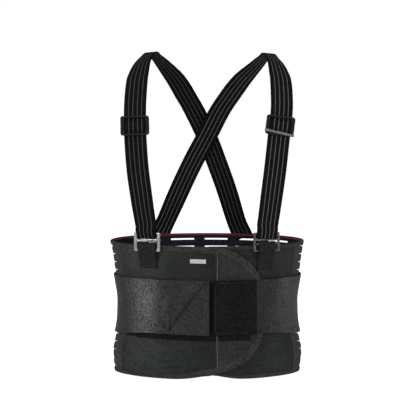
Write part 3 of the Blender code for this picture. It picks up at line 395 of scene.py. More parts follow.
M = {
    # panel satin: its stops paint light on the left front near x -0.11 to -0.08 and shade at the centre front and the
    # sides
    "panel": cloth_material("panel_satin", (0.0152, 0.0164, 0.0166), 0.62, 0.8, "rib_h", 0.00008, 0.58, 0.10,
                            0.18, 0.30, (0.85, 0.95, 1.0), 0.20, 0.30, 430.0, streak=0.22,
                            shade=((-0.150, 0.80), (-0.112, 1.45), (-0.080, 1.40), (-0.050, 0.95), (0.0, 0.72), (0.060, 0.80), (0.110, 1.0), (0.150, 0.80))),
    "velour": cloth_material("velour_flap", (0.0160, 0.0166, 0.0180), 0.8, 0.8, "pile", 0.00012, 0.80, 0.16,
                             0.25, 0.45, (0.8, 0.88, 1.0), 0.22, 0.42, 460.0),
    "binding": cloth_material("binding_tape", (0.0235, 0.0234, 0.0226), 0.9, 1.2, "twill", 0.00014, 0.74, 0.10,
                              0.14, 0.40, (1.0, 0.95, 0.85), 0.18, 0.62, 480.0),
    "mesh": cloth_material("elastic_mesh", (0.0240, 0.0240, 0.0232), 1.3, 1.1, "plain", 0.00022, 0.78, 0.16,
                           0.10, 0.40, (0.85, 0.9, 1.0), 0.18, 0.45, 450.0),
    "tape": cloth_material("stay_tape", (0.0095, 0.0096, 0.0102), 0.8, 1.0, "twill", 0.00014, 0.78, 0.15,
                           0.10, 0.40, (1, 1, 1), 0.15, 0.35, 450.0),
    # left pull elastic: its stops paint a highlight at x -0.10 to -0.08 and shade on both sides of it, in place of the
    # key light's sheen
    "elastic": cloth_material("pull_elastic_cloth", (0.0560, 0.0552, 0.0530), 1.0, 0.9, "plain", 0.00020, 0.52, 0.15,
                              0.22, 0.30, (1.0, 0.96, 0.9), 0.16, 0.62, 470.0, streak_v=0.22,
                              shade=((-0.150, 0.26), (-0.128, 0.28), (-0.115, 0.62), (-0.100, 1.12), (-0.088, 1.20), (-0.079, 0.78), (-0.069, 0.44), (-0.050, 0.38))),
    # right pull elastic: a darker copy of the left elastic as painted shade, its stops painting a highlight near x
    # 0.118
    "elastic_r_painted_light": cloth_material("pull_elastic_cloth_right_painted_light", (0.0400, 0.0396, 0.0380), 1.0, 0.9, "plain", 0.00016, 0.54, 0.12,
                                0.20, 0.30, (1.0, 0.98, 0.94), 0.16, 0.50, 470.0, streak_v=0.18,
                                shade=((0.060, 0.34), (0.085, 0.38), (0.103, 0.55), (0.118, 0.88), (0.128, 0.80), (0.150, 0.55))),
    "tab": cloth_material("tab_cloth", (0.0190, 0.0194, 0.0190), 0.8, 0.8, "twill", 0.00014, 0.60, 0.14,
                          0.18, 0.35, (1, 1, 0.96), 0.20, 0.50, 460.0),
    "loop": cloth_material("loop_pile", (0.0039, 0.0043, 0.0041), 0.8, 0.8, "pile", 0.00035, 0.90, 0.10,
                           0.16, 0.55, (0.9, 1.0, 0.95), 0.25, 0.85, 430.0),
    "hook": cloth_material("hook_tape", (0.0070, 0.0070, 0.0074), 1.5, 1.5, "plain", 0.00040, 0.50, 0.30,
                           0.05, 0.40, (1, 1, 1), 0.10, 0.20, 900.0),
    "lining": cloth_material("lining_cloth", (0.0080, 0.0100, 0.0150), 0.7, 0.7, "plain", 0.00012, 0.80, 0.12,
                             0.15, 0.40, (0.7, 0.8, 1.0), 0.15, 0.3, 450.0),
    "red": cloth_material("red_piping_cord", (0.260, 0.010, 0.030), 0.9, 0.6, "twill", 0.00015, 0.65, 0.25,
                          0.20, 0.40, (1, 0.6, 0.6), 0.12, 0.15, 900.0),
    # flap seam fold: far lighter than the panel, a painted highlight for the light caught by the folded edge
    "thread": cloth_material("seam_fold_painted_highlight", (0.0440, 0.0430, 0.0400), 0.5, 0.5, "plain", 0.00005, 0.55, 0.30,
                             0.20, 0.40, (1, 1, 1), 0.15, 0.30, 500.0),
    "stitch": cloth_material("stitching_thread", (0.0270, 0.0264, 0.0245), 0.5, 0.5, "plain", 0.00005, 0.55, 0.30,
                             0.20, 0.40, (1, 1, 1), 0.15, 0.30, 500.0),
    "label": cloth_material("plain_label", (0.34, 0.34, 0.335), 0.6, 0.6, "plain", 0.00008, 0.60, 0.25,
                            0.10, 0.40, (1, 1, 1), 0.05, 0.06, 900.0),
    "web": webbing_material("shoulder_webbing", (0.0023, 0.0023, 0.0022), (0.098, 0.098, 0.094)),
    # left shoulder strap: the same webbing with darker base and dimmer stripes, a painted-shade copy
    "web_left_painted_shade": webbing_material("shoulder_webbing_left_painted_shade", (0.0018, 0.0018, 0.0018), (0.056, 0.056, 0.054)),
    "webtab": cloth_material("tab_webbing", (0.0085, 0.0085, 0.0079), 1.1, 1.3, "plain", 0.00020, 0.72, 0.16,
                             0.12, 0.35, (1, 1, 1), 0.14, 0.55, 470.0),
    "plastic": plastic_material("slider_plastic", (0.0040, 0.0040, 0.0040)),
    "nickel": metal_material("clip_nickel", (0.24, 0.24, 0.235), 0.30),
    # right clip: the clip nickel darkened, a painted-shade copy for the ring turned edge-on
    "nickel_painted_shade": metal_material("clip_nickel_painted_shade", (0.09, 0.09, 0.092), 0.38),
    "bar": metal_material("slider_bar_metal", (0.17, 0.17, 0.17), 0.34),
    "steel": metal_material("stay_spring_steel", (0.48, 0.49, 0.51), 0.26, "Z"),
}


# ------------------------------------------------------------------ mesh making
def make(name, verts, faces, kind, uvs=None, angle=40.0):
    mesh = bpy.data.meshes.new(name)
    verts = np.asarray(verts, float)
    mesh.from_pydata(verts.tolist(), [], faces)
    mesh.update()
    if uvs is not None:
        layer = mesh.uv_layers.new(name="UVMap")
        idx = np.zeros(len(mesh.loops), np.int32)
        mesh.loops.foreach_get("vertex_index", idx)
        layer.data.foreach_set("uv", np.asarray(uvs, np.float32)[idx].ravel())
    mesh.materials.append(M[kind])
    obj = bpy.data.objects.new(name, mesh)
    bpy.context.scene.collection.objects.link(obj)
    mesh.shade_smooth()
    mesh.set_sharp_from_angle(angle=math.radians(angle))
    return obj


def shell(name, th, z, lo, hi, kind, mask=None, uv=None, angle=40.0, inner=None):
    """Closed two-skinned sheet on a grid; cells where mask is False are real openings."""
    n, m = th.shape
    verts = np.concatenate([ring(th, z, hi).reshape(-1, 3), ring(th, z, lo).reshape(-1, 3)])
    if uv is None:
        uv = (s_of(th), z)
    uvs = np.stack([np.broadcast_to(uv[0], (n, m)).ravel(), np.broadcast_to(uv[1], (n, m)).ravel()], -1)
    uvs = np.concatenate([uvs, uvs])
    if mask is None:
        mask = np.ones((n - 1, m - 1), bool)
    N = n * m
    faces, inside = [], []
    for j in range(n - 1):
        for i in range(m - 1):
            if not mask[j, i]:
                continue
            a, b, c, d = j * m + i, j * m + i + 1, (j + 1) * m + i + 1, (j + 1) * m + i
            faces.append((a, b, c, d))
            inside.append(len(faces))
            faces.append((a + N, d + N, c + N, b + N))
            if j == 0 or not mask[j - 1, i]:
                faces.append((b, a, a + N, b + N))
            if j == n - 2 or not mask[j + 1, i]:
                faces.append((d, c, c + N, d + N))
            if i == 0 or not mask[j, i - 1]:
                faces.append((a, d, d + N, a + N))
            if i == m - 2 or not mask[j, i + 1]:
                faces.append((c, b, b + N, c + N))
    obj = make(name, verts, faces, kind, uvs, angle)
    if inner is not None:
        obj.data.materials.append(M[inner])
        for k in inside:
            obj.data.polygons[k].material_index = 1
    loose(obj)
    return obj


def loose(obj):
    bm = bmesh.new()
    bm.from_mesh(obj.data)
    dead = [v for v in bm.verts if not v.link_faces]
    if dead:
        bmesh.ops.delete(bm, geom=dead, context="VERTS")
    bm.to_mesh(obj.data)
    bm.free()


def lines(a, b, step, r=0.0022, rim=(0.0, 0.12, 0.35, 0.65, 1.0)):
    """Grid lines from a to b, crowded within r of each end."""
    sign = 1 if b > a else -1
    L = abs(b - a)
    head = [x * r for x in rim]
    n = max(1, int(round((L - 2 * r) / step)))
    mid = [r + (L - 2 * r) * i / n for i in range(1, n)]
    tail = [L - x for x in reversed(head)]
    return a + sign * np.array(head + mid + tail)


def edge_round(d, r):
    """0..1 fullness of a soft edge at distance d inside it"""
    t = np.clip(d / r, 0, 1)
    return np.sqrt(np.clip(1 - (1 - t) ** 2, 0, 1)) * 0.85 + 0.15


def pad(name, s0, s1, z0, z1, base, thick, kind, step=0.003, r=0.0022, disp=None, sides=None, crown=0.0,
        inner=None):
    """A soft sheet with rounded edges. s0, s1 are arc lengths or functions of height, z0, z1 heights or
    functions of arc length, base a function of angle, disp a function (s, z) -> outward shift."""
    f0 = s0 if callable(s0) else (lambda z: np.full_like(np.asarray(z, float), s0))
    f1 = s1 if callable(s1) else (lambda z: np.full_like(np.asarray(z, float), s1))
    zm = 0.11
    a, b = float(f0(np.array(zm))), float(f1(np.array(zm)))
    g0 = z0 if callable(z0) else (lambda s: np.full_like(np.asarray(s, float), z0))
    g1 = z1 if callable(z1) else (lambda s: np.full_like(np.asarray(s, float), z1))
    ls = lines(a, b, step, r)
    za, zb = float(g0(np.array((a + b) / 2))), float(g1(np.array((a + b) / 2)))
    lz = lines(za, zb, step, r)
    us = (ls - a) / (b - a)
    vs = (lz - za) / (zb - za)
    U, V = np.meshgrid(us, vs)
    sm = a + (b - a) * U
    Z = g0(sm) + (g1(sm) - g0(sm)) * V
    S = f0(Z) + (f1(Z) - f0(Z)) * U
    du = np.minimum(U, 1 - U) * abs(b - a)
    dv = np.minimum(V, 1 - V) * abs(zb - za)
    if sides == "open_u":
        du = np.full_like(du, 1.0)
    elif sides == "open_u0":
        du = (1 - U) * abs(b - a)
    elif sides == "open_u1":
        du = U * abs(b - a)
    full = edge_round(np.minimum(du, dv), r)
    T = th_of(S)
    o = base(T) if callable(base) else np.full_like(T, base)
    if disp is not None:
        o = o + disp(S, Z)
    if crown:
        o = o + crown * (1 - (2 * U - 1) ** 2) * (1 - (2 * V - 1) ** 2)
    mid = o + thick / 2
    return shell(name, T, Z, mid - full * thick / 2, mid + full * thick / 2, kind, inner=inner)


def along_ring(name, s_path, z_path, n_s, n_z, widths, base, profile, kind, closed=False):
    """Sweep a profile along an edge. Profile points are (inwards share of the width, outwards metres)."""
    P = len(profile)
    n = len(s_path)
    S = np.array([[s_path[i] - n_s[i] * v * widths[i] for v, _o in profile] for i in range(n)])
    Z = np.array([[z_path[i] - n_z[i] * v * widths[i] for v, _o in profile] for i in range(n)])
    O = np.array([[o for _v, o in profile] for _i in range(n)])
    T = th_of(S)
    B = base(T) if callable(base) else np.full_like(T, base)
    pts = ring(T, Z, B + O).reshape(-1, 3)
    run = np.concatenate([[0], np.cumsum(np.hypot(np.diff(s_path), np.diff(z_path)))])
    pr = np.concatenate([[0], np.cumsum([math.hypot((profile[k + 1][0] - profile[k][0]) * 0.006,
                                                    profile[k + 1][1] - profile[k][1]) for k in range(P - 1)])])
    uvs = np.array([[run[i], pr[k]] for i in range(n) for k in range(P)])
    faces = []
    for i in range(n - 1):
        for k in range(P):
            k2 = (k + 1) % P
            faces.append((i * P + k, i * P + k2, (i + 1) * P + k2, (i + 1) * P + k))
    faces.append(tuple(reversed(range(P))))
    faces.append(tuple((n - 1) * P + k for k in range(P)))
    obj = make(name, pts, faces, kind, uvs, 50.0)
    outward(obj)
    return obj


def outward(obj):
    bm = bmesh.new()
    bm.from_mesh(obj.data)
    bmesh.ops.recalc_face_normals(bm, faces=bm.faces)
    if bm.calc_volume(signed=True) < 0:
        bmesh.ops.reverse_faces(bm, faces=bm.faces)
    bm.to_mesh(obj.data)
    bm.free()


def stitches(name, rows, kind="stitch", pitch=0.0031, length=0.0021, width=0.00055, height=0.00045):
    """Rows of thread stitches. A row is a list of (point, outward) pairs along a seam."""
    verts, faces, uvs = [], [], []
    for pts, nrm in rows:
        pts, nrm = np.asarray(pts, float), np.asarray(nrm, float)
        seg = np.linalg.norm(np.diff(pts, axis=0), axis=1)
        run = np.concatenate([[0], np.cumsum(seg)])
        total = run[-1]
        k = max(1, int(total / pitch))
        for j in range(k):
            c = (j + 0.5) * total / k
            q = [np.array([np.interp(c + d, run, pts[:, a]) for a in range(3)]) for d in (-length / 2, 0, length / 2)]
            m = np.array([np.interp(c, run, nrm[:, a]) for a in range(3)])
            m /= np.linalg.norm(m)
            t = q[2] - q[0]
            t /= max(np.linalg.norm(t), 1e-9)
            w = np.cross(m, t)
            base = len(verts)
            for x, sw, sh in ((q[0], 0.35, -0.15), (q[0] + (q[1] - q[0]) * 0.35, 0.9, 0.75), (q[1], 1.0, 1.0),
                              (q[1] + (q[2] - q[1]) * 0.65, 0.9, 0.75), (q[2], 0.35, -0.15)):
                for cw, ch in ((-0.5, 0.0), (-0.3, 1.0), (0.3, 1.0), (0.5, 0.0), (0.0, -0.6)):
                    h = height * (ch * max(sh, 0.0) if ch > 0 else ch * 0.5) + (height * min(sh, 0.0))
                    verts.append(x + w * (cw * width * sw * 1.1) + m * h)
                    uvs.append((c, cw * width))
            for a in range(4):
                for b in range(5):
                    b2 = (b + 1) % 5
                    faces.append((base + a * 5 + b, base + (a + 1) * 5 + b, base + (a + 1) * 5 + b2, base + a * 5 + b2))
            faces.append(tuple(base + b for b in range(5)))
            faces.append(tuple(base + 20 + b for b in reversed(range(5))))
    obj = make(name, verts, faces, kind, uvs, 60.0)
    outward(obj)
    return obj


def ring_row(s, z, off):
    """A seam line on the ring for stitches()."""
    T = th_of(np.asarray(s, float))
    z = np.broadcast_to(np.asarray(z, float), T.shape)
    o = off(T) if callable(off) else np.broadcast_to(off, T.shape)
    p = ring(T, z, o)
    q = ring(T, z, o + 0.001)
    return p, (q - p) / 0.001


def blend_side(obj):
    """Bakes the object's transform into its mesh; it is not bent with the side fold."""
    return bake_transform(obj)



# ------------------------------------------------------------------ outlines of the belt
CLOTH, PATCH, PULL, GAP = 0.0022, 0.0006, 0.0016, 0.0003
SEAM_L, SEAM_R, SEAM_FLAP, FLAP_TIP, FLAP_MID, RIGHT_END = -0.1255, 0.1265, 0.0140, 0.0895, 0.1080, -0.0040
E_EDGE, E_FLAP = 0.0062, 0.0100
STAYS = [25.8, 50.9, 74.3, 95.1, 116.7, 144.0]
PULL_SEAM_L, PULL_SEAM_R, TAB_END_L, PAD_END_R = -0.0548, 0.0700, 0.0026, 0.0085
SIDE_OFF = CLOTH + 3 * GAP + 2 * PATCH          # pull straps at the sides
FRONT_OFF = SIDE_OFF + STEP_UP                  # and over the flap
REAR_OFF = 0.0052                               # and over the stay tapes
S_L, S_R, S_F = (float(s_of(th_front(x))) for x in (SEAM_L, SEAM_R, SEAM_FLAP))
S_END = float(s_of(th_front(RIGHT_END)))
REAR_L, REAR_R = 116.7, 410.9


def at_x(x):
    return lambda z: s_of(th_at(x, z))


def at_y(y, side):
    def f(z):
        t = np.degrees(np.arcsin(-y / (half_width(z) * RATIO)))
        return s_of(180.0 + t if side == "left" else 360.0 - t)
    return f


def side_share(s):
    """0 at the front, 1 from the side line on"""
    return 1.0 - np.clip(np.cos(np.radians(th_of(s) - 270.0)) / 0.793, 0, 1)


def pull_top(s):
    return 0.1562 - 0.0017 * side_share(s)


def pull_bottom(s):
    return 0.0745 - 0.0130 * side_share(s)


def nose(offset, n):
    """The flap's rounded nose, top edge round to bottom edge, moved inwards by offset: angles and heights."""
    a = math.pi / 2 * (1 - 2 * np.arange(n + 1) / n)
    x0, x1 = 0.0020, FLAP_TIP - offset
    c = np.maximum(np.cos(a), 0)
    x = x0 + (x1 - x0) * c
    s = np.sin(a)
    lift = np.where(s < 0, 0.0034 * np.sin(math.pi * np.minimum(c / 0.62, 1.0)), 0.0)
    up = TOP - offset - FLAP_MID
    dn = FLAP_MID - (float(bottom_edge(th_front(x0))) + offset)
    return th_front(x), FLAP_MID + np.where(s > 0, up, dn) * s + lift


TH_N0 = float(th_front(0.0020))


def left_width(theta):
    return E_EDGE + (E_FLAP - E_EDGE) * np.clip((np.asarray(theta, float) - 240.0) / (TH_N0 - 240.0), 0, 1)


def resample(cols, step):
    d = np.hypot(np.diff(cols[0]), np.diff(cols[1]))
    run = np.concatenate([[0], np.cumsum(d)])
    keep = np.concatenate([[True], d > 1e-7])
    t = np.linspace(0, run[-1], int(run[-1] / step) + 1)
    return [np.interp(t, run[keep], c[keep]) for c in cols]


def edge_path(parts, step=0.0016):
    """Joins (s, z, width) runs and returns s, z, outward normal and width along the edge."""
    s, z, w = (np.concatenate([p[k] for p in parts]) for k in range(3))
    s, z, w = resample([s, z, w], step)
    ts, tz = np.gradient(s), np.gradient(z)
    L = np.hypot(ts, tz)
    return s, z, -tz / L, ts / L, w


def run_s(th_a, th_b, n=300):
    return np.linspace(s_of(th_a), s_of(th_b), n)


# left half: rear top, side, front top, nose and back along the bottom
sa = run_s(REAR_L, TH_N0)
nt, nz = nose(0.0, 500)
LEFT_EDGE = edge_path([(sa, np.full_like(sa, TOP), left_width(th_of(sa))),
                       (s_of(nt), nz, np.full_like(nz, E_FLAP)),
                       (sa[::-1], bottom_edge(th_of(sa[::-1])), left_width(th_of(sa[::-1])))])
# right half: rear bottom, front bottom, square end with soft corners, top
sb = run_s(REAR_R, th_front(RIGHT_END) + 3.2)
R_C = 0.0075
zb0 = float(bottom_edge(th_front(RIGHT_END)))
ang = np.linspace(0, math.pi / 2, 24)
corner_b = (S_END + R_C - R_C * np.sin(ang), zb0 + R_C - R_C * np.cos(ang))
corner_t = (S_END + R_C - R_C * np.cos(ang), TOP - R_C + R_C * np.sin(ang))
w_of = lambda a: np.full_like(a, E_EDGE)
RIGHT_EDGE = edge_path([(sb, bottom_edge(th_of(sb)), w_of(sb)), (*corner_b, w_of(ang)),
                        (*corner_t, w_of(ang)), (sb[::-1], np.full_like(sb, TOP), w_of(sb))])
sr = run_s(REAR_R - 360.0, REAR_L, 200)
REAR_TOP = edge_path([(sr, np.full_like(sr, TOP), w_of(sr))])
REAR_LOW = edge_path([(sr[::-1], np.zeros_like(sr), w_of(sr))])

FOLDED = [(1.0, -0.0003), (1.0, 0.0024), (0.93, 0.0029), (0.75, 0.0032), (0.45, 0.0032), (0.20, 0.0029),
          (0.05, 0.0021), (0.0, 0.0011), (0.05, 0.0001), (0.20, -0.0006), (0.45, -0.0009), (0.75, -0.0009),
          (0.93, -0.0007)]
FLAT = [(v, o * 0.72 if o > 0.0012 else o) for v, o in FOLDED]


def binding(name, edge, base, profile=FOLDED, seed=1):
    s, z, ns, nz_, w = edge
    ripple = lambda T: base(T) if callable(base) else np.full_like(T, base)
    wob = 1 + 0.05 * vnoise(np.arange(len(s)) * 0.12, 0.5, seed)
    obj = along_ring(name, s, z, ns, nz_, w * wob, ripple, profile, "binding")
    # puckers between stitches
    co = np.zeros(len(obj.data.vertices) * 3, np.float32)
    obj.data.vertices.foreach_get("co", co)
    co = co.reshape(-1, 3).astype(float)
    P = len(profile)
    k = np.arange(len(co)) // P
    amp = 0.00016 * vnoise(k * 0.55, (np.arange(len(co)) % P) * 0.4, seed + 5)
    rad = co * np.array([1.0 / RATIO ** 2 * RATIO ** 2, 1.0 / RATIO ** 2, 0])
    rad /= np.maximum(np.linalg.norm(rad, axis=1, keepdims=True), 1e-6)
    co += rad * amp[:, None]
    obj.data.vertices.foreach_set("co", co.astype(np.float32).ravel())
    obj.data.update()
    # the tape's inner leg carries the navy lining colour
    obj.data.materials.append(M["lining"])
    for q in range((len(s) - 1) * P):
        if 8 <= q % P <= 12:
            obj.data.polygons[q].material_index = 1
    return obj


def edge_stitches(edge, base, share=0.82, off=0.0031, every=1):
    s, z, ns, nz_, w = edge
    S, Z = s - ns * share * w, z - nz_ * share * w
    return ring_row(S[::every], Z[::every], lambda T: (base(T) if callable(base) else np.full_like(T, base)) + off)


zero = lambda T: np.zeros_like(T)
b = binding("left_edge_binding", LEFT_EDGE, left_in, seed=3)
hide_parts("left_binding")
blend_side(b)
blend_side(stitches("left_edge_stitching", [edge_stitches(LEFT_EDGE, left_in, every=2),
                                            edge_stitches(LEFT_EDGE, left_in, 0.24, 0.0028, 2)]))
b = binding("right_edge_binding", RIGHT_EDGE, zero, FLAT, seed=11)
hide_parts("right_binding")
blend_side(b)
blend_side(stitches("right_edge_stitching", [edge_stitches(RIGHT_EDGE, zero, off=0.0023, every=2)]))
for nm, edge, node in (("rear_top_edge_binding", REAR_TOP, "rear_top_binding"),
                       ("rear_low_edge_binding", REAR_LOW, "rear_bottom_binding")):
    b = binding(nm, edge, zero, seed=17)
    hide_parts(node)
    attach(b, "back")
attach(stitches("rear_edge_stitching", [edge_stitches(REAR_TOP, zero, every=2),
                                         edge_stitches(REAR_LOW, zero, every=2)]), "back")


def tube(name, pts, radius, kind, sides=8):
    pts = np.asarray(pts, float)
    t = np.gradient(pts, axis=0)
    t /= np.linalg.norm(t, axis=1, keepdims=True)
    ref = np.array([0.0, 0.0, 1.0])
    verts, faces, uvs = [], [], []
    seg = np.concatenate([[0], np.cumsum(np.linalg.norm(np.diff(pts, axis=0), axis=1))])
    for i, (p, d) in enumerate(zip(pts, t)):
        u = ref - d * (ref @ d)
        if np.linalg.norm(u) < 0.2:
            u = np.array([0.0, 1.0, 0.0]) - d * d[1]
        u /= np.linalg.norm(u)
        v = np.cross(d, u)
        for k in range(sides):
            a = 2 * math.pi * k / sides
            verts.append(p + radius * (u * math.cos(a) + v * math.sin(a)))
            uvs.append((seg[i], k / sides * radius * 6))
    n = len(pts)
    for i in range(n - 1):
        for k in range(sides):
            k2 = (k + 1) % sides
            faces.append((i * sides + k, (i + 1) * sides + k, (i + 1) * sides + k2, i * sides + k2))
    faces.append(tuple(range(sides)))
    faces.append(tuple((n - 1) * sides + k for k in reversed(range(sides))))
    obj = make(name, verts, faces, kind, uvs, 60.0)
    outward(obj)
    return obj


def piping(name, th_a, th_b, base):
    s = run_s(th_a, th_b, max(20, int(abs(float(s_of(th_b) - s_of(th_a))) / 0.004)))
    T = th_of(s)
    p = ring(T, TOP - 0.0024, base(T) - 0.0014)
    return tube(name, p, 0.00070, "red")


blend_side(piping("left_red_piping", REAR_L, 262.0, left_in))
blend_side(piping("right_red_piping", REAR_R, th_front(0.034), zero))
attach(piping("rear_red_piping", REAR_R - 360.0, REAR_L, zero), "back")

# ------------------------------------------------------------------ open mesh round the back and sides
ROWS = [0.0094 + k * 0.01258 for k in range(16)]
SLOT_H = 0.0026


def row_lift(T, Z):
    """At the sides the rows climb towards the front."""
    def one(c, sgn):
        d = (T - c) * sgn
        near = smooth(-np.abs(d), -27.0, -13.0)
        return near * (0.115 + 0.075 * np.clip(1 - Z / TOP, 0, 1)) * (s_of(c + d) - s_of(c + 0 * d))
    lift = one(183.0, 1.0) + one(357.0, -1.0)
    inside = smooth(Z, 0.002, 0.012) * (1 - smooth(Z, TOP - 0.012, TOP - 0.002))
    return lift * inside


def mesh_panel(name, runs, wings=False, seed=0, shut=None):
    """runs: (s start, s end, open) one after another; open runs carry the slots."""
    z_lines, row_of = [0.0022], [False]
    prev = 0.0022
    for zk in ROWS:
        lo, hi = zk - SLOT_H / 2, zk + SLOT_H / 2
        for f in (0.12, 0.35, 0.65, 0.88):
            z_lines.append(prev + (lo - prev) * f)
            row_of.append(False)
        z_lines.append(lo)
        row_of.append(True)
        z_lines.append(hi)
        row_of.append(False)
        prev = hi
    for f in (0.2, 0.5, 0.8, 1.0):
        z_lines.append(prev + (TOP - 0.0022 - prev) * f)
        row_of.append(False)
    z_lines = np.array(z_lines)
    s_lines, open_of = [runs[0][0]], []
    for a, b_, is_open in runs:
        n = max(1, int(round((b_ - a) / 0.0048)))
        for i in range(n):
            s_lines.append(a + (b_ - a) * (i + 1) / n)
            open_of.append(is_open)
    s_lines = np.array(s_lines)
    U, V = np.meshgrid(s_lines, z_lines)
    T = th_of(U)
    be = bottom_edge(T)
    Z = be + V * (TOP - be) / TOP
    Z = Z + row_lift(T, Z)
    near = smooth(-np.abs(T - 180.0), -34.0, -20.0) + smooth(-np.abs(T - 360.0), -34.0, -20.0)
    rims = np.zeros(len(z_lines))
    for j, r in enumerate(row_of[:-1]):
        if r:
            rims[j], rims[j + 1] = 1.0, -1.0
    Z = Z + rims[:, None] * 0.00052 * near
    mask = np.ones((len(z_lines) - 1, len(s_lines) - 1), bool)
    for j, r in enumerate(row_of[:-1]):
        if r:
            mask[j, :] = ~np.array(open_of)
            if shut and j == max(k for k, r_ in enumerate(row_of) if r_):
                mask[j, (s_lines[:-1] > shut[0]) & (s_lines[1:] < shut[1])] = True
    # each band between slots is crowned, its threads drawn in at the slots
    d = np.min(np.abs(V[..., None] - np.concatenate([np.array(ROWS) - SLOT_H / 2, np.array(ROWS) + SLOT_H / 2])), -1)
    c = smooth(d, 0.0, 0.0032)
    wave = 0.00025 * vnoise(U * 90, V * 160, seed)
    hi = 0.0013 + 0.0009 * c + wave + 0.0006 * near * (1 - c)
    lo = 0.0005 - 0.0004 * c + wave * 0.4
    return shell(name, T, Z, lo, hi, "mesh", mask, inner="lining")


def gap_runs(posts, s_a, s_b, open_first=True, open_last=True):
    """Slot runs between posts given as (s centre, half width)."""
    runs, at = [], s_a
    first = True
    for c, h in posts:
        if c - h > at:
            runs.append((at, c - h, open_first if first else True))
        runs.append((max(c - h, at), c + h, False))
        at = c + h
        first = False
    if s_b > at:
        runs.append((at, s_b, open_last))
    return runs


HALF = {1: 0.0066, 2: 0.0066, 3: 0.0066, 4: 0.0086, 5: 0.0066, 6: 0.0066}
st = lambda k: float(s_of(STAYS[k - 1]))
SIDE_TAPE_L, SIDE_TAPE_R = float(s_of(157.5)), float(s_of(382.5))
full_turn = float(s_of(360.0) - s_of(0.0))
m = mesh_panel("left_mesh", gap_runs([(st(5), HALF[5]), (st(6), HALF[6]), (SIDE_TAPE_L, 0.0048),
                                      (float(s_of(203.0)), float(s_of(203.0) - s_of(195.8)))],
                                     st(5), S_L + 0.0008, True, False), seed=2,
               shut=(float(s_of(145.5)), float(s_of(179.0))))
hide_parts("left_side_mesh")
blend_side(m)
m = mesh_panel("right_mesh", gap_runs([(float(s_of(337.0)), float(s_of(344.2) - s_of(337.0))), (SIDE_TAPE_R, 0.0048),
                                       (st(1) + full_turn, HALF[1]), (st(2) + full_turn, HALF[2])],
                                      S_R - 0.0008, st(2) + full_turn, False, True)[:-1]
               + [(st(2) + full_turn - HALF[2], st(2) + full_turn, False)], seed=4)
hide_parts("right_side_mesh")
blend_side(m)
m = mesh_panel("rear_mesh", [(st(2), st(2) + HALF[2], False)]
               + gap_runs([(st(3), HALF[3]), (st(4), HALF[4])], st(2) + HALF[2], st(5) - HALF[5])
               + [(st(5) - HALF[5], st(5), False)], seed=6)
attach(m, "back")
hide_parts("rear_mesh_panel")


def tape(name, s_c, half, hump, z0=0.0050, z1=None, step=0.006, rise=0.0049):
    """A woven tape sewn flat at both edges, with a pocket standing over the stay."""
    z1 = TOP - 0.0050 if z1 is None else z1
    us = [-1, -0.93, -0.80, -0.66, -0.50, -0.34, 0, 0.34, 0.50, 0.66, 0.80, 0.93, 1]
    zs = np.linspace(z0, z1, int((z1 - z0) / step) + 1)
    U, V = np.meshgrid(np.array(us), zs)
    T = th_of(s_c + U * half)
    be = bottom_edge(T)
    Z = be + V * (TOP - be) / TOP
    h = smooth(-np.abs(U), -0.74, -0.50) if hump else np.zeros_like(U)
    edge = smooth(-np.abs(U), -1.0, -0.93)
    hi = 0.0027 + 0.0005 * edge + h * (rise - 0.0032) + 0.0001 * vnoise(V * 260, U * 2, 9)
    lo = 0.0022 + h * (rise - 0.0030)
    return shell(name, T, Z, lo, hi, "tape", uv=(s_c + U * half, Z))


tape_rows = {"left": [], "right": [], "rear": []}
for k in range(1, 7):
    where = "right" if k <= 1 else ("left" if k >= 6 else "rear")
    c = st(k) + (full_turn if k == 1 else 0.0)
    t = tape("stay_tape_%d" % k, c, 0.0058, True)
    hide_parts("stay_channel_%d" % k)
    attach(t, "back")
    zz = np.linspace(0.008, TOP - 0.0085, 40)
    for e in (-0.0049, 0.0049):
        tape_rows["rear"].append(ring_row(np.full_like(zz, c + e), zz, 0.0031))
for nm, c, side in (("left_side_tape", SIDE_TAPE_L, "left"), ("right_side_tape", SIDE_TAPE_R, "right")):
    blend_side(tape(nm, c, 0.0042, False))
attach(stitches("stay_tape_stitching", tape_rows["rear"], pitch=0.0038, length=0.0026), "back")

# ------------------------------------------------------------------ front panels, flap and closure
def drag(seed, amp=0.0006, fs=26.0, fz=20.0):
    """Soft undulation of a laminated panel, with faint pull lines from its seams."""
    def f(s, z):
        return (amp * vnoise(s * fs, z * fz, seed) + amp * 0.45 * vnoise(s * fs * 2.7, z * fz * 1.6, seed + 1)
                + amp * 0.25 * vnoise((s + z * 0.4) * 150, (z - s * 0.4) * 40, seed + 2))
    return f


low_in = lambda s: bottom_edge(th_of(s)) + 0.0030
top_in = lambda s: np.full_like(np.asarray(s, float), TOP - 0.0030)
p = pad("left_front_cloth", S_L - 0.0010, S_F, low_in, top_in, left_in, CLOTH, "panel", 0.0034,
        disp=drag(21), inner="lining")
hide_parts("left_front_panel")
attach(p, "left_wing")
p = pad("right_front_cloth", S_END + 0.0030, S_R + 0.0010, low_in, top_in, 0.0, CLOTH, "panel", 0.0034,
        disp=drag(31), inner="lining")
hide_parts("right_front_panel")
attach(p, "right_wing")

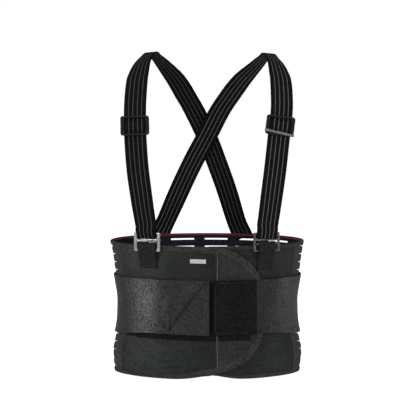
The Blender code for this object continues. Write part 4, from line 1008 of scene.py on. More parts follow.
# flap: rows follow the nose
FN = 64
nt, nz = nose(0.0042, 400)
nx = A_REF * np.sin(np.radians(nt - 270.0))
tip = int(np.argmax(nx))
x_a = SEAM_FLAP - 0.0004
z_hi = np.interp(x_a + 0.0012, nx[:tip + 1], nz[:tip + 1])
z_lo = np.interp(x_a + 0.0012, nx[tip:][::-1], nz[tip:][::-1])
aa = np.linspace(-1, 1, FN + 1)
rows_z = np.where(aa > 0, FLAP_MID + (z_hi - FLAP_MID) * np.sin(np.abs(aa) * math.pi / 2) ** 0.97,
                  FLAP_MID - (FLAP_MID - z_lo) * np.sin(np.abs(aa) * math.pi / 2) ** 0.97)
order = np.argsort(nz)
x_end = np.interp(rows_z, nz[order], nx[order])
us = np.concatenate([[0, 0.004, 0.012, 0.024], np.linspace(0.05, 0.985, 27), [0.995, 1.0]])
X = x_a + (x_end[:, None] - x_a) * us[None, :]
Zf = np.repeat(rows_z[:, None], len(us), 1)
Tf = th_front(X)
Sf = s_of(Tf)
full = edge_round(np.minimum((X - x_a), 1.0), 0.0018)
off = STEP_UP + drag(41, 0.0005)(Sf, Zf)
mid = off + CLOTH / 2
flap = shell("flap_velour", Tf, Zf, mid - full * CLOTH / 2, mid + full * CLOTH / 2, "velour", inner="lining")
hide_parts("closure_flap")
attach(flap, "left_wing")


def upright_row(s, z0, z1, off, n=80):
    zz = np.linspace(z0, z1, n)
    return ring_row(s(zz) if callable(s) else np.full_like(zz, s), zz, off)


front_rows = {"left": [], "right": []}
front_rows["left"] += [upright_row(S_L + d, 0.014, TOP - 0.009, 0.0024) for d in (0.0022, 0.0062)]
front_rows["left"] += [upright_row(S_F - 0.0024, 0.027, TOP - 0.012, STEP_UP + 0.0024),
                       upright_row(S_F + 0.0028, 0.027, TOP - 0.013, STEP_UP + 0.0024)]
front_rows["right"] += [upright_row(S_R - d, 0.014, TOP - 0.009, 0.0024) for d in (0.0022, 0.0062)]
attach(stitches("left_panel_stitching", front_rows["left"], pitch=0.0030), "left_wing")
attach(stitches("right_panel_stitching", front_rows["right"], pitch=0.0030), "right_wing")

# turned seam edges standing a little proud
def ridge(name, s_c, half, z0, z1, base, height, kind, n_z=60):
    us = np.array([-1, -0.8, -0.45, 0, 0.45, 0.8, 1.0])
    zs = np.linspace(z0, z1, n_z)
    U, V = np.meshgrid(us, zs)
    T = th_of((s_c(V) if callable(s_c) else s_c) + U * half)
    B = base(T) if callable(base) else np.full_like(T, base)
    h = height * np.sqrt(np.clip(1 - U ** 2, 0, 1)) * (1 + 0.12 * vnoise(V * 140, 0.0, 3))
    return shell(name, T, V, B - 0.0004, B + np.maximum(h, 0.0001), kind)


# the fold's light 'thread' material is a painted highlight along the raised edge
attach(ridge("flap_seam_fold", S_F + 0.0001, 0.0009, 0.0235, TOP - 0.011, lambda T: left_in(T) + CLOTH, 0.0007, "thread"),
        "left_wing")
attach(ridge("left_side_seam_fold", S_L - 0.0004, 0.0012, 0.0100, TOP - 0.0075, CLOTH, 0.0007, "panel"), "left_wing")
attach(ridge("right_side_seam_fold", S_R + 0.0004, 0.0012, 0.0100, TOP - 0.0075, CLOTH, 0.0007, "panel"), "right_wing")


def simple_hooks(name, s0, s1, z0, z1, base, kind="hook", pitch=0.0020, out=-1.0, tall=0.0006):
    verts, faces, uvs = [], [], []
    f0 = s0 if callable(s0) else (lambda z: s0)
    f1 = s1 if callable(s1) else (lambda z: s1)
    n_z = int((z1 - z0) / pitch)
    for j in range(n_z):
        z = z0 + (j + 0.5) * (z1 - z0) / n_z
        a, b_ = float(f0(z)), float(f1(z))
        n_s = int((b_ - a) / pitch)
        for i in range(n_s):
            s = a + (i + 0.5 + 0.25 * ((j % 2) - 0.5)) * (b_ - a) / n_s
            ds = np.array([-0.0003, 0.0003, 0.0003, -0.0003, 0.0002, 0.0006, 0.0006, 0.0002])
            dz = np.array([-0.0003, -0.0003, 0.0003, 0.0003, -0.00016, -0.00016, 0.00016, 0.00016])
            T, Z = th_of(s + ds), z + dz
            B = base(T) if callable(base) else np.full_like(T, base)
            O = B + out * np.array([-0.0001] * 4 + [tall] * 4)
            k = len(verts)
            verts.extend(ring(T, Z, O))
            uvs.extend([(s, z)] * 8)
            for q in range(4):
                faces.append((k + q, k + (q + 1) % 4, k + 4 + (q + 1) % 4, k + 4 + q))
            faces.append((k + 4, k + 5, k + 6, k + 7))
            faces.append((k + 3, k + 2, k + 1, k))
    obj = make(name, verts, faces, kind, uvs, 30.0)
    outward(obj)
    return obj


def fuzz(seed, amp=0.00016, f=700.0):
    return lambda s, z: amp * vnoise(s * f, z * f, seed) + amp * 1.6 * vnoise(s * f / 9, z * f / 9, seed + 1)


o1 = CLOTH + GAP
p = pad("loop_patch", float(s_of(th_front(0.0325))), float(s_of(th_front(0.0735))), 0.056, 0.160, o1, PATCH, "loop",
        0.0022, 0.0012, fuzz(3))
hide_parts("closure_loop_patch")
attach(p, "right_wing")
p = pad("hook_patch", float(s_of(th_front(0.0330))), float(s_of(th_front(0.0640))), 0.075, 0.141,
        o1 + PATCH + GAP + 0.0001, PATCH - 0.0001, "hook", 0.0025, 0.0010)
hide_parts("closure_hook_patch")
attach(p, "left_wing")
h = simple_hooks("hook_patch_hooks", float(s_of(th_front(0.0340))), float(s_of(th_front(0.0630))), 0.0762, 0.1398,
                 o1 + PATCH + GAP + 0.0002, tall=0.0003)
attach(h, "left_wing")
face_l = lambda T: left_in(T) + CLOTH + GAP
# the landing strips reach below the pull straps: their dark lower band is partly the real loop strip and partly a
# painted shadow cast by the straps
p = pad("left_landing_loop_and_shadow_band", S_L + 0.0030, S_F - 0.0012, 0.0655, 0.1500, face_l, PATCH, "loop", 0.0026, 0.0012, fuzz(5))
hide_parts("left_landing_strip")
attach(p, "left_wing")
p = pad("flap_landing_loop_and_shadow_band", S_F + 0.0014, float(s_of(th_front(0.0640))), 0.0655, 0.1500, face_l, PATCH, "loop",
        0.0026, 0.0012, fuzz(7))
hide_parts("flap_landing_strip")
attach(p, "left_wing")
p = pad("plain_label_patch", float(s_of(th_front(-0.0245))), float(s_of(th_front(-0.0020))), 0.1822, 0.1885,
        face_l, 0.0005, "label", 0.0016, 0.0006)
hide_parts("blank_label")
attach(p, "left_wing")

# ------------------------------------------------------------------ pull straps
def elastic_disp(side, hem_a, hem_b, seed):
    """hem_a and hem_b: (arc length, height) ends of the folded hem line above the lower edge."""
    def f(s, z):
        line = hem_a[1] + (hem_b[1] - hem_a[1]) * (s - hem_a[0]) / (hem_b[0] - hem_a[0])
        inside = smooth(s, min(hem_a[0], hem_b[0]) - 0.004, min(hem_a[0], hem_b[0]) + 0.004) * \
            (1 - smooth(s, max(hem_a[0], hem_b[0]) - 0.002, max(hem_a[0], hem_b[0]) + 0.004))
        step = (1 - smooth(z - line, -0.0010, 0.0008)) * 0.0011
        groove = -0.0009 * np.exp(-((z - line - 0.0013) / 0.0013) ** 2)
        return inside * (step + groove) + 0.00035 * vnoise(s * 24, z * 30, seed) + 0.00012 * vnoise(s * 60, z * 260, seed + 1)
    return f


SX = lambda x: float(s_of(th_front(x)))
left_pull_off = SIDE_OFF
side_l = pad("left_pull_side_cloth", float(s_of(122.0)), at_y(-0.0270, "left"), pull_bottom, pull_top,
             lambda T: SIDE_OFF + (REAR_OFF - SIDE_OFF) * (1 - smooth(T, 171.0, 181.0)), PULL, "elastic",
             0.0034, 0.0014, lambda s, z: 0.0003 * vnoise(s * 24, z * 30, 51), "open_u1")
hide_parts("left_pull_rear", "left_pull_side")
blend_side(side_l)
el = pad("left_pull_elastic_cloth", at_y(-0.0270, "left"), at_x(PULL_SEAM_L), pull_bottom, pull_top, SIDE_OFF, PULL,
         "elastic", 0.0026, 0.0014, elastic_disp("left", (SX(-0.1210), 0.0735), (SX(-0.0560), 0.0795), 51), "open_u")
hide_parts("left_pull_elastic")
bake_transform(el)


def tab_disp(s, z):
    u = (s - SX(PULL_SEAM_L)) / (SX(TAB_END_L) - SX(PULL_SEAM_L))
    zb, zt = pull_bottom(s), pull_top(s)
    v = (z - zb) / (zt - zb)
    # folded triangle: everything right of the diagonal lies one layer higher
    d = ((u - 0.05) * 0.80 - (v - 0.13) * 0.88) * 0.052
    raised = smooth(d, -0.0006, 0.0008) * 0.0021 * (1 + 0.5 * smooth(d, 0.004, 0.0) * smooth(d, -0.001, 0.001))
    crease = -0.0017 * np.exp(-((d + 0.0017) / 0.0016) ** 2)
    lip = 0.0014 * smooth(u, 0.91, 0.98)
    return raised + crease + lip + 0.00025 * vnoise(s * 30, z * 30, 61)


tb = pad("left_tab_cloth", at_x(PULL_SEAM_L), at_x(TAB_END_L), pull_bottom, pull_top,
         lambda T: left_in(T) + SIDE_OFF, PULL, "tab", 0.0011, 0.0014, tab_disp, "open_u0")
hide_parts("left_pull_tab")
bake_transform(tb)
seat_l = lambda T: left_in(T) + CLOTH + 2 * GAP + PATCH
p = pad("left_tab_hook_pad", SX(PULL_SEAM_L) + 0.0100, SX(TAB_END_L) - 0.0035, 0.0800, 0.1480, seat_l, PATCH, "hook",
        0.0026, 0.0010)
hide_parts("left_hook_pad")
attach(p, "left_tab")
h = simple_hooks("left_tab_hooks", SX(PULL_SEAM_L) + 0.0110, SX(TAB_END_L) - 0.0045, 0.0812, 0.1468,
                 lambda T: seat_l(T) + 0.0001, tall=0.0003)
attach(h, "left_tab")

skin_r = lambda T: SIDE_OFF + (FRONT_OFF - SIDE_OFF) * (1 - smooth(T, 313.0, 323.5))
el = pad("right_pull_elastic_cloth", at_x(PULL_SEAM_R), at_y(-0.0270, "right"), pull_bottom, pull_top, skin_r, PULL,
         "elastic_r_painted_light", 0.0026, 0.0014, elastic_disp("right", (SX(0.1020), 0.0755), (SX(0.1330), 0.0745), 71), "open_u")
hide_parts("right_pull_elastic")
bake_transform(el)
side_r = pad("right_pull_side_cloth", at_y(-0.0270, "right"), float(s_of(418.0)), pull_bottom, pull_top,
             lambda T: SIDE_OFF + (REAR_OFF - SIDE_OFF) * smooth(T, 359.0, 369.0), PULL, "elastic_r_painted_light",
             0.0034, 0.0014, lambda s, z: 0.0003 * vnoise(s * 24, z * 30, 71), "open_u0")
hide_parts("right_pull_rear", "right_pull_side")
blend_side(side_r)
pd = pad("right_pad_pile", at_x(PAD_END_R), at_x(PULL_SEAM_R), pull_bottom, pull_top, FRONT_OFF, PULL, "loop",
         0.0013, 0.0014, fuzz(13, 0.00022, 620.0), "open_u1")
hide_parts("right_pull_pad")
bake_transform(pd)
p = pad("right_pad_hook_pad", SX(PAD_END_R) + 0.0030, SX(PULL_SEAM_R) - 0.0100, 0.0800, 0.1480,
        FRONT_OFF - GAP - PATCH, PATCH, "hook", 0.0026, 0.0010)
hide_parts("right_hook_pad")
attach(p, "right_tab")
h = simple_hooks("right_pad_hooks", SX(PAD_END_R) + 0.0040, SX(PULL_SEAM_R) - 0.0110, 0.0812, 0.1468,
                 FRONT_OFF - GAP - PATCH + 0.0001, tall=0.0003)
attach(h, "right_tab")


# the elastic's turned end stands over the tab and the pad
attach(ridge("left_pull_seam_fold", lambda z: at_x(PULL_SEAM_L)(z) - 0.0016, 0.0017, 0.0755, 0.1552, SIDE_OFF + PULL,
              0.0012, "elastic"), "left_pull")
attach(ridge("right_pull_seam_fold", lambda z: at_x(PULL_SEAM_R)(z) + 0.0016, 0.0017, 0.0755, 0.1552, FRONT_OFF + PULL,
              0.0009, "elastic_r_painted_light"), "right_pull")


def level_row(s0, s1, z, off, n=90):
    s = np.linspace(s0, s1, n)
    return ring_row(s, z(s) if callable(z) else np.full_like(s, z), off)


a, b_ = SX(PULL_SEAM_L), SX(TAB_END_L)
rows = [upright_row(lambda z: at_x(PULL_SEAM_L)(z) - d, 0.0775, 0.1545, SIDE_OFF + PULL) for d in (0.0016, 0.0042)]
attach(stitches("left_elastic_end_stitching", rows), "left_pull")
off_tab = lambda T: left_in(T) + SIDE_OFF + PULL + 0.0002
rows = [level_row(a + 0.010, b_ - 0.0035, lambda s: pull_top(s) - 0.0034, off_tab),
        level_row(a + 0.010, b_ - 0.0035, lambda s: pull_bottom(s) + 0.0034,
                  lambda T: off_tab(T) + 0.0007),
        upright_row(b_ - 0.0035, 0.0785, 0.1525, lambda T: off_tab(T) + 0.0012)]
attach(stitches("left_tab_stitching", rows), "left_tab")
rows = [upright_row(lambda z: at_x(PULL_SEAM_R)(z) + d, 0.0775, 0.1545, FRONT_OFF + PULL) for d in (0.0016, 0.0042)]
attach(stitches("right_elastic_end_stitching", rows), "right_pull")
off_pad = FRONT_OFF + PULL
a2, b2 = SX(PAD_END_R), SX(PULL_SEAM_R)
rows = [level_row(a2 + 0.0035, b2 - 0.010, lambda s: pull_top(s) - 0.0034, off_pad),
        level_row(a2 + 0.0035, b2 - 0.010, lambda s: pull_bottom(s) + 0.0034, off_pad),
        upright_row(a2 + 0.0035, 0.0785, 0.1525, off_pad)]
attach(stitches("right_pad_stitching", rows), "right_tab")
rows = [upright_row(float(s_of(122.0)) + d, 0.0650, 0.1510, REAR_OFF + PULL) for d in (0.0025, 0.0100)]
rows += [upright_row(float(s_of(58.0)) - d, 0.0650, 0.1510, REAR_OFF + PULL) for d in (0.0025, 0.0100)]
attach(stitches("rear_pull_anchor_stitching", rows), "back")

# ------------------------------------------------------------------ shoulder straps
WEB_W, WEB_T = 0.0330, 0.0013
CLIP_TURN = math.radians(18)
CLIP_CENTRE = {"left": (-0.0895, -0.0925, 0.2130), "right": (0.0880, -0.0925, 0.2130)}
ANCHOR_TH = {"left": 67.6, "right": 121.8}
APEX_W = (0.57, 0.82)
SLIDER_AT = 0.157
STRAP_L = [(-0.0897, -0.0925, 0.2290), (-0.0935, -0.0940, 0.2520), (-0.0975, -0.0950, 0.2790),
           (-0.1030, -0.0950, 0.3220), (-0.1064, -0.0930, 0.3710), (-0.1073, -0.0830, 0.4054),
           (-0.1072, -0.0680, 0.4292), (-0.1060, -0.0490, 0.4535), (-0.1040, -0.0360, 0.4660),
           (-0.1004, -0.0250, 0.4790), (-0.0938, -0.0168, 0.4905), (-0.0860, -0.0110, 0.4978),
           (-0.0783, -0.0060, 0.4905), (-0.0682, -0.0005, 0.4800), (-0.0490, 0.0160, 0.4569),
           (-0.0340, 0.0380, 0.4321), (-0.0198, 0.0580, 0.4069), (-0.0012, 0.0745, 0.3680),
           (0.0165, 0.0880, 0.3220), (0.0322, 0.0985, 0.2780), (0.0480, 0.1075, 0.2270)]
STRAP_R = [(0.0882, -0.0925, 0.2290), (0.0915, -0.0940, 0.2520), (0.0950, -0.0950, 0.2790),
           (0.1005, -0.0950, 0.3220), (0.1058, -0.0930, 0.3710), (0.1102, -0.0830, 0.4054),
           (0.1113, -0.0680, 0.4292), (0.1108, -0.0490, 0.4535), (0.1089, -0.0360, 0.4660),
           (0.1056, -0.0250, 0.4785), (0.1000, -0.0168, 0.4892), (0.0938, -0.0110, 0.4960),
           (0.0866, -0.0060, 0.4895), (0.0763, -0.0005, 0.4790), (0.0544, 0.0150, 0.4569),
           (0.0356, 0.0360, 0.4321), (0.0190, 0.0540, 0.4069), (-0.0010, 0.0695, 0.3680),
           (-0.0230, 0.0840, 0.3270), (-0.0440, 0.0960, 0.2830), (-0.0690, 0.1040, 0.2270)]
STRAPS = {"left": STRAP_L, "right": STRAP_R}


def spline(points, n=24):
    pts = [Vector(p) for p in points]
    pts = [pts[0] * 2 - pts[1]] + pts + [pts[-1] * 2 - pts[-2]]
    out = []
    for i in range(1, len(pts) - 2):
        p0, p1, p2, p3 = pts[i - 1:i + 3]
        for j in range(n):
            t = j / n
            out.append(0.5 * ((2 * p1) + (p2 - p0) * t + (2 * p0 - 5 * p1 + 4 * p2 - p3) * t * t
                              + (3 * p1 - p0 - 3 * p2 + p3) * t ** 3))
    out.append(pts[-2].copy())
    return out


class Path:
    def __init__(self, side):
        ctrl = list(STRAPS[side])
        th = ANCHOR_TH[side]
        for z in (0.2070, 0.2035, 0.2000):
            ctrl.append(tuple(ring(th + (z - 0.2025) * {"left": 200.0, "right": -270.0}[side], z, 0.00876)))
        self.p = spline(ctrl)
        self.s = [0.0]
        for a, b in zip(self.p, self.p[1:]):
            self.s.append(self.s[-1] + (b - a).length)
        self.length = self.s[-1]
        sgn = -1.0 if side == "left" else 1.0
        self.side = sgn
        self.apex = max(zip(self.p, self.s), key=lambda e: e[0].z)[1]
        self.w_front = Vector((math.cos(CLIP_TURN), sgn * math.sin(CLIP_TURN), 0.0))
        t = math.radians(th)
        n = Vector((RATIO * math.cos(t), math.sin(t), 0.0)).normalized()
        self.w_rear = Vector((n.y, -n.x, 0.0))

    def at(self, s):
        if s < 0:
            return self.p[0] + (self.p[1] - self.p[0]).normalized() * s
        s = min(s, self.length)
        i = 0
        while i < len(self.s) - 2 and self.s[i + 1] < s:
            i += 1
        f = (s - self.s[i]) / max(self.s[i + 1] - self.s[i], 1e-9)
        return self.p[i].lerp(self.p[i + 1], f)

    def frame(self, s):
        tan = Vector((0, 0, 0))
        for d in (0.0030, 0.0060, 0.0090):
            tan += (self.at(min(s + d, self.length)) - self.at(s - d)).normalized()
        tan.normalize()
        f = min(max(s, 0.0) / 0.10, 1.0)
        g = min(max((s - (self.length - 0.10)) / 0.09, 0.0), 1.0)
        w = self.w_front.lerp(Vector((1, 0, 0)), f * f * (3 - 2 * f))
        w = w.lerp(self.w_rear, g * g * (3 - 2 * g))
        k = min(max(1.0 - (abs(s - self.apex) - 0.008) / 0.080, 0.0), 1.0) ** 1.4
        w = w.lerp(Vector((APEX_W[0], self.side * APEX_W[1], 0.0)), k)
        w = (w - tan * w.dot(tan)).normalized()
        nrm = w.cross(tan).normalized()
        return self.at(s), tan, w, nrm


def web(name, stations, width, thick, kind, cols=17, u_shift=0.0, cup=0.0, narrow=None):
    """Flat webbing through stations (point, width direction, face direction, length along)."""
    us = np.array([-1, -0.985, -0.95] + list(np.linspace(-0.88, 0.88, cols - 6)) + [0.95, 0.985, 1])
    half = thick / 2 * (0.30 + 0.70 * np.sqrt(np.clip(1 - np.abs(us) ** 24, 0, 1)))
    rib = 1 + 0.10 * np.cos(us * math.pi * 8)
    n = len(us)
    verts, faces, uvs = [], [], []
    for k, (p, w, f, v) in enumerate(stations):
        p, w, f = np.array(p, float), np.array(w, float), np.array(f, float)
        if narrow:
            w = w * narrow[k]
        bow = cup * (1 - us ** 2) + 0.00012 * vnoise(us * 2.0 + 5, v * 220, 3)
        top = p + w * (us * width / 2)[:, None] + f * (half * rib + bow)[:, None]
        low = p + w * (us * width / 2)[:, None] + f * (-half * rib + bow)[:, None]
        verts.extend(top)
        verts.extend(low[::-1])
        row = np.stack([(us + 1) / 2 * width + u_shift, np.full(n, v)], -1)
        uvs.extend(row)
        uvs.extend(row[::-1])
    m = 2 * n
    for k in range(len(stations) - 1):
        for i in range(m):
            j = (i + 1) % m
            faces.append((k * m + i, k * m + j, (k + 1) * m + j, (k + 1) * m + i))
    faces.append(tuple(range(m)))
    e = (len(stations) - 1) * m
    faces.append(tuple(e + i for i in reversed(range(m))))
    obj = make(name, verts, faces, kind, uvs, 45.0)
    outward(obj)
    return obj


def ladder(name, cols, rows, holes, thick, corner, soft, kind, at, inner_corner=0.0):
    """A moulded or stamped frame with rectangular openings, all its edges rounded."""
    bm = bmesh.new()
    grid = [[bm.verts.new((x, y, -thick / 2)) for x in cols] for y in rows]
    for j in range(len(rows) - 1):
        for i in range(len(cols) - 1):
            if (i, j) not in holes:
                bm.faces.new([grid[j][i], grid[j][i + 1], grid[j + 1][i + 1], grid[j + 1][i]])
    bmesh.ops.delete(bm, geom=[v for v in bm.verts if not v.link_faces], context="VERTS")
    ext = bmesh.ops.extrude_face_region(bm, geom=bm.faces[:])
    top = [g for g in ext["geom"] if isinstance(g, bmesh.types.BMVert)]
    bmesh.ops.translate(bm, verts=top, vec=(0, 0, thick))
    bmesh.ops.recalc_face_normals(bm, faces=bm.faces)
    bmesh.ops.dissolve_limit(bm, angle_limit=0.01, verts=bm.verts, edges=bm.edges)
    upright = [e for e in bm.edges if abs((e.verts[0].co - e.verts[1].co).z) > thick * 0.5]
    outer = [e for e in upright if abs(abs(e.verts[0].co.x) - cols[-1]) < 1e-6
             and abs(abs(e.verts[0].co.y) - rows[-1]) < 1e-6]
    inside = [e for e in upright if e not in outer]
    bmesh.ops.bevel(bm, geom=outer, offset=corner, segments=5, profile=0.5, affect="EDGES")
    if inner_corner:
        inside = [e for e in inside if e.is_valid]
        bmesh.ops.bevel(bm, geom=inside, offset=inner_corner, segments=3, profile=0.5, affect="EDGES")
    sharp = [e for e in bm.edges if len(e.link_faces) == 2 and e.calc_face_angle(0) > math.radians(60)]
    bmesh.ops.bevel(bm, geom=sharp, offset=soft, segments=3, profile=0.5, affect="EDGES")
    bmesh.ops.triangulate(bm, faces=[f for f in bm.faces if len(f.verts) > 4])
    bm.transform(at)
    bmesh.ops.recalc_face_normals(bm, faces=bm.faces)
    mesh = bpy.data.meshes.new(name)
    uv = bm.loops.layers.uv.new("UVMap")
    inv = at.inverted()
    for f in bm.faces:
        for l in f.loops:
            q = inv @ l.vert.co
            l[uv].uv = (q.x, q.y + q.z)
    bm.to_mesh(mesh)
    bm.free()
    mesh.materials.append(M[kind])
    obj = bpy.data.objects.new(name, mesh)
    bpy.context.scene.collection.objects.link(obj)
    mesh.shade_smooth()
    mesh.set_sharp_from_angle(angle=math.radians(38))
    return obj


def local(p, x, y, z):
    m = Matrix((x, y, z)).transposed().to_4x4()
    m.translation = p
    return m


def rod(name, points, radius, kind, sides=14, flat=1.0):
    """A drawn wire with rounded ends."""
    pts = [np.array(p, float) for p in points]
    a, b = pts[0], pts[-1]
    d0, d1 = pts[1] - pts[0], pts[-1] - pts[-2]
    d0 /= np.linalg.norm(d0)
    d1 /= np.linalg.norm(d1)
    stations = [(a - d0 * radius * k, r) for k, r in ((0.95, 0.30), (0.75, 0.66), (0.40, 0.92))]
    stations += [(p, 1.0) for p in pts]
    stations += [(b + d1 * radius * k, r) for k, r in ((0.40, 0.92), (0.75, 0.66), (0.95, 0.30))]
    P = np.array([s_[0] for s_ in stations])
    t = np.gradient(P, axis=0)
    t /= np.linalg.norm(t, axis=1, keepdims=True)
    verts, faces, uvs = [], [], []
    ref = np.array([0.0, -1.0, 0.0])
    for i, (p, r) in enumerate(stations):
        u = ref - t[i] * (ref @ t[i])
        u /= np.linalg.norm(u)
        v = np.cross(t[i], u)
        for k in range(sides):
            an = 2 * math.pi * k / sides
            verts.append(p + radius * r * (u * math.cos(an) * flat + v * math.sin(an)))
            uvs.append((i * 0.002, k * 0.0005))
    n = len(stations)
    for i in range(n - 1):
        for k in range(sides):
            k2 = (k + 1) % sides
            faces.append((i * sides + k, (i + 1) * sides + k, (i + 1) * sides + k2, i * sides + k2))
    faces.append(tuple(range(sides)))
    faces.append(tuple((n - 1) * sides + k for k in reversed(range(sides))))
    obj = make(name, verts, faces, kind, uvs, 50.0)
    outward(obj)
    return obj


for side in ("left", "right"):
    path = Path(side)
    sgn = -1.0 if side == "left" else 1.0
    wing, leg, slider, clip = side + "_wing", side + "_leg", side + "_slider", side + "_clip"
    # the left strap takes the painted-shade copy of the webbing
    web_kind = "web_left_painted_shade" if side == "left" else "web"
    # over the shoulder and down to the rear anchor
    n = int((path.length - 0.1450) / 0.0028)
    stations = []
    for i in range(n + 1):
        s_ = 0.1450 + (path.length - 0.1450) * i / n
        p, tan, w, nrm = path.frame(s_)
        stations.append((p, w, nrm, s_))
    strap = web(side + "_strap_web", stations, WEB_W, WEB_T, web_kind)
    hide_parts(side + "_shoulder_strap")
    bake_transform(strap)

    # the leg: a double layer that turns round the clip's top bar
    p0, tan0, w0, n0 = path.frame(0.0)
    cx, cy, cz = CLIP_CENTRE[side]
    bar = Vector((cx, cy, cz + 0.0080))
    up = Vector((0, 0, 1))
    wc = Vector((math.cos(CLIP_TURN), sgn * math.sin(CLIP_TURN), 0.0))
    nc = wc.cross(up)
    rise = (p0 - bar).dot(tan0)
    r_bar = 0.00245
    shape = lambda a: 0.00072 + (r_bar - 0.00072) * (1 - float(smooth(a, 0.0068, 0.0200)))

    def leg_point(a, sign):
        s_ = a - rise
        if s_ > 0.006:
            p, tan, w, nrm = path.frame(s_)
            f = 1.0
        else:
            f = 0.0
            p, tan, w, nrm = bar + tan0 * a, tan0, w0, n0
        return p + nrm * (sign * shape(a)), w, nrm * sign

    back_run = [0.1730 - 0.0030 * i for i in range(int(0.169 / 0.0030))]
    back_run = [a + rise for a in back_run if a > 0.0075] + [0.0070 + rise, 0.0045 + rise, 0.0020 + rise * 0.8, 0.0055, 0.0030, 0.0008]
    stations = []
    v = 0.0
    for a in back_run:
        q, w, f = leg_point(a, -1)
        stations.append((q, w, f, a))
    for k in range(1, 12):
        an = math.pi * k / 12
        off = n0 * (-math.cos(an) * r_bar) - tan0 * (math.sin(an) * r_bar)
        stations.append((bar + off, w0, off.normalized(), -an * r_bar))
    for a in reversed(back_run):
        q, w, f = leg_point(a, 1)
        stations.append((q, w, f, -0.008 - a))
    draw = [0.925 + 0.075 * float(smooth(abs((Vector(q_) - bar).dot(tan0)), 0.004, 0.017)) for q_, *_r in stations]
    lg = web(side + "_leg_web", stations, WEB_W, WEB_T, web_kind, narrow=draw)
    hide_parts(side + "_strap_leg")
    ps, ts, ws, ns_ = path.frame(0.1405)
    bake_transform(lg)

    # slider: moulded frame, with the webbing humped over its centre bar
    p, tan, w, nrm = path.frame(SLIDER_AT)
    face = WEB_T + 0.0009
    seat = p + nrm * (face + 0.0015)
    place = local(seat, w, tan, nrm)
    hx, hy = 0.0425 / 2, 0.0295 / 2
    fr = ladder(side + "_slider_body", [-hx, -hx + 0.0054, hx - 0.0054, hx],
                [-hy, -hy + 0.0028, -0.0021, 0.0021, hy - 0.0028, hy], {(1, 1), (1, 3)}, 0.0031, 0.0042, 0.0008,
                "plastic", place, 0.0012)
    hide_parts(side + "_slider_frame")
    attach(fr, slider)
    prof = [(-0.0116, -0.0010), (-0.0098, -0.0002), (-0.0082, 0.0008), (-0.0066, 0.0021), (-0.0048, 0.0031),
            (-0.0025, 0.0036), (0.0, 0.0037), (0.0025, 0.0036), (0.0048, 0.0031), (0.0066, 0.0021),
            (0.0082, 0.0008), (0.0098, -0.0002), (0.0116, -0.0010)]
    fine = np.linspace(-0.0116, 0.0116, 47)
    hz = np.interp(fine, [a_ for a_, _b in prof], [b_ for _a, b_ in prof])
    hz = np.convolve(np.concatenate([[hz[0]] * 2, hz, [hz[-1]] * 2]), np.ones(5) / 5, "valid")
    stations = []
    for a_, o_ in zip(fine, hz):
        sl = (np.interp(a_ + 2e-4, fine, hz) - np.interp(a_ - 2e-4, fine, hz)) / 4e-4
        f = (nrm - tan * float(sl)).normalized()
        stations.append((seat + tan * float(a_) + nrm * float(o_ - 0.0012), w, f, SLIDER_AT + float(a_)))
    hump = web(side + "_slider_web", stations, 0.0314, WEB_T, web_kind)
    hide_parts(side + "_slider_loop")
    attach(hump, slider)
    if side == "right":
        y0, y1 = -hy + 0.0056, -hy + 0.0010
        pts = [seat + w * x + tan * (y0 + (y1 - y0) * (x + hx) / (2 * hx)) + nrm * (0.0026 - 0.0006 * abs(x) / hx)
               for x in np.linspace(-hx + 0.0012, hx - 0.0012, 12)]
        rd = rod("right_slider_bar", pts, 0.0021, "bar")
        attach(rd, slider)

    # clip ring
    place = local(Vector((cx, cy, cz)), wc, up, nc)
    hx, hy = 0.0415 / 2, 0.0284 / 2
    leg_w = 0.0050 if side == "left" else 0.0034
    # the right clip ring and gate use the painted-shade copy of the nickel
    ring_obj = ladder(side + "_clip_frame", [-hx, -hx + leg_w, hx - leg_w, hx],
                      [-hy, -hy + 0.0028, 0.0016, 0.0046, hy - 0.0030, hy], {(1, 1), (1, 3)}, 0.0024, 0.0015, 0.0007,
                      "nickel" if side == "left" else "nickel_painted_shade", place, 0.0006)
    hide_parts(side + "_clip_ring")
    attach(ring_obj, clip)
    x0, x1 = -hx + leg_w - 0.0006, hx - leg_w + 0.0006
    zs = (-0.0032, 0.0012) if side == "left" else (-0.0030, -0.0020)
    pts = [Vector((cx, cy, cz)) + wc * (x0 + (x1 - x0) * t_) + up * (zs[0] + (zs[1] - zs[0]) * t_)
           + nc * 0.0022 for t_ in np.linspace(0, 1, 10)]
    rd = rod(side + "_clip_gate", pts, 0.00105, "nickel" if side == "left" else "nickel_painted_shade")
    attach(rd, clip)

    # anchor tab: sewn to the panel, up and round the clip's middle bar
    mid_bar = Vector((cx, cy, cz + 0.0000))
    tab_x = {"left": -0.0865, "right": 0.0845}[side]
    foot_z = {"left": 0.1735, "right": 0.1710}[side]
    th_t = float(th_at(tab_x, foot_z))
    foot = Vector(ring(th_t, foot_z, CLOTH + 0.0003))
    foot2 = Vector(ring(float(th_at(tab_x, 0.1830)), 0.1830, CLOTH + 0.0008))
    t_ = math.radians(th_t)
    n_ring = Vector((RATIO * math.cos(t_), math.sin(t_), 0.0)).normalized()
    w_ring = Vector((-n_ring.y, n_ring.x, 0.0))
    if w_ring.x < 0:
        w_ring = -w_ring
    top_c = mid_bar + Vector((0, 0, -0.0020))
    low_bar = Vector((cx, cy, cz - 0.0142 + 0.0014))
    ctrl_mid = [foot, foot.lerp(foot2, 0.5), foot2, low_bar + (foot2 - low_bar) * 0.18 + up * -0.001,
                low_bar + up * 0.004, top_c]
    line = spline(ctrl_mid, 8)
    stations = []
    m_ = len(line)
    r_t = 0.0024

    def tab_frame(i):
        a_, b_ = line[max(i - 1, 0)], line[min(i + 1, m_ - 1)]
        tt = (b_ - a_).normalized()
        f_ = i / (m_ - 1)
        ww = w_ring.lerp(wc, f_)
        ww = (ww - tt * ww.dot(tt)).normalized()
        return line[i], tt, ww, ww.cross(tt).normalized()

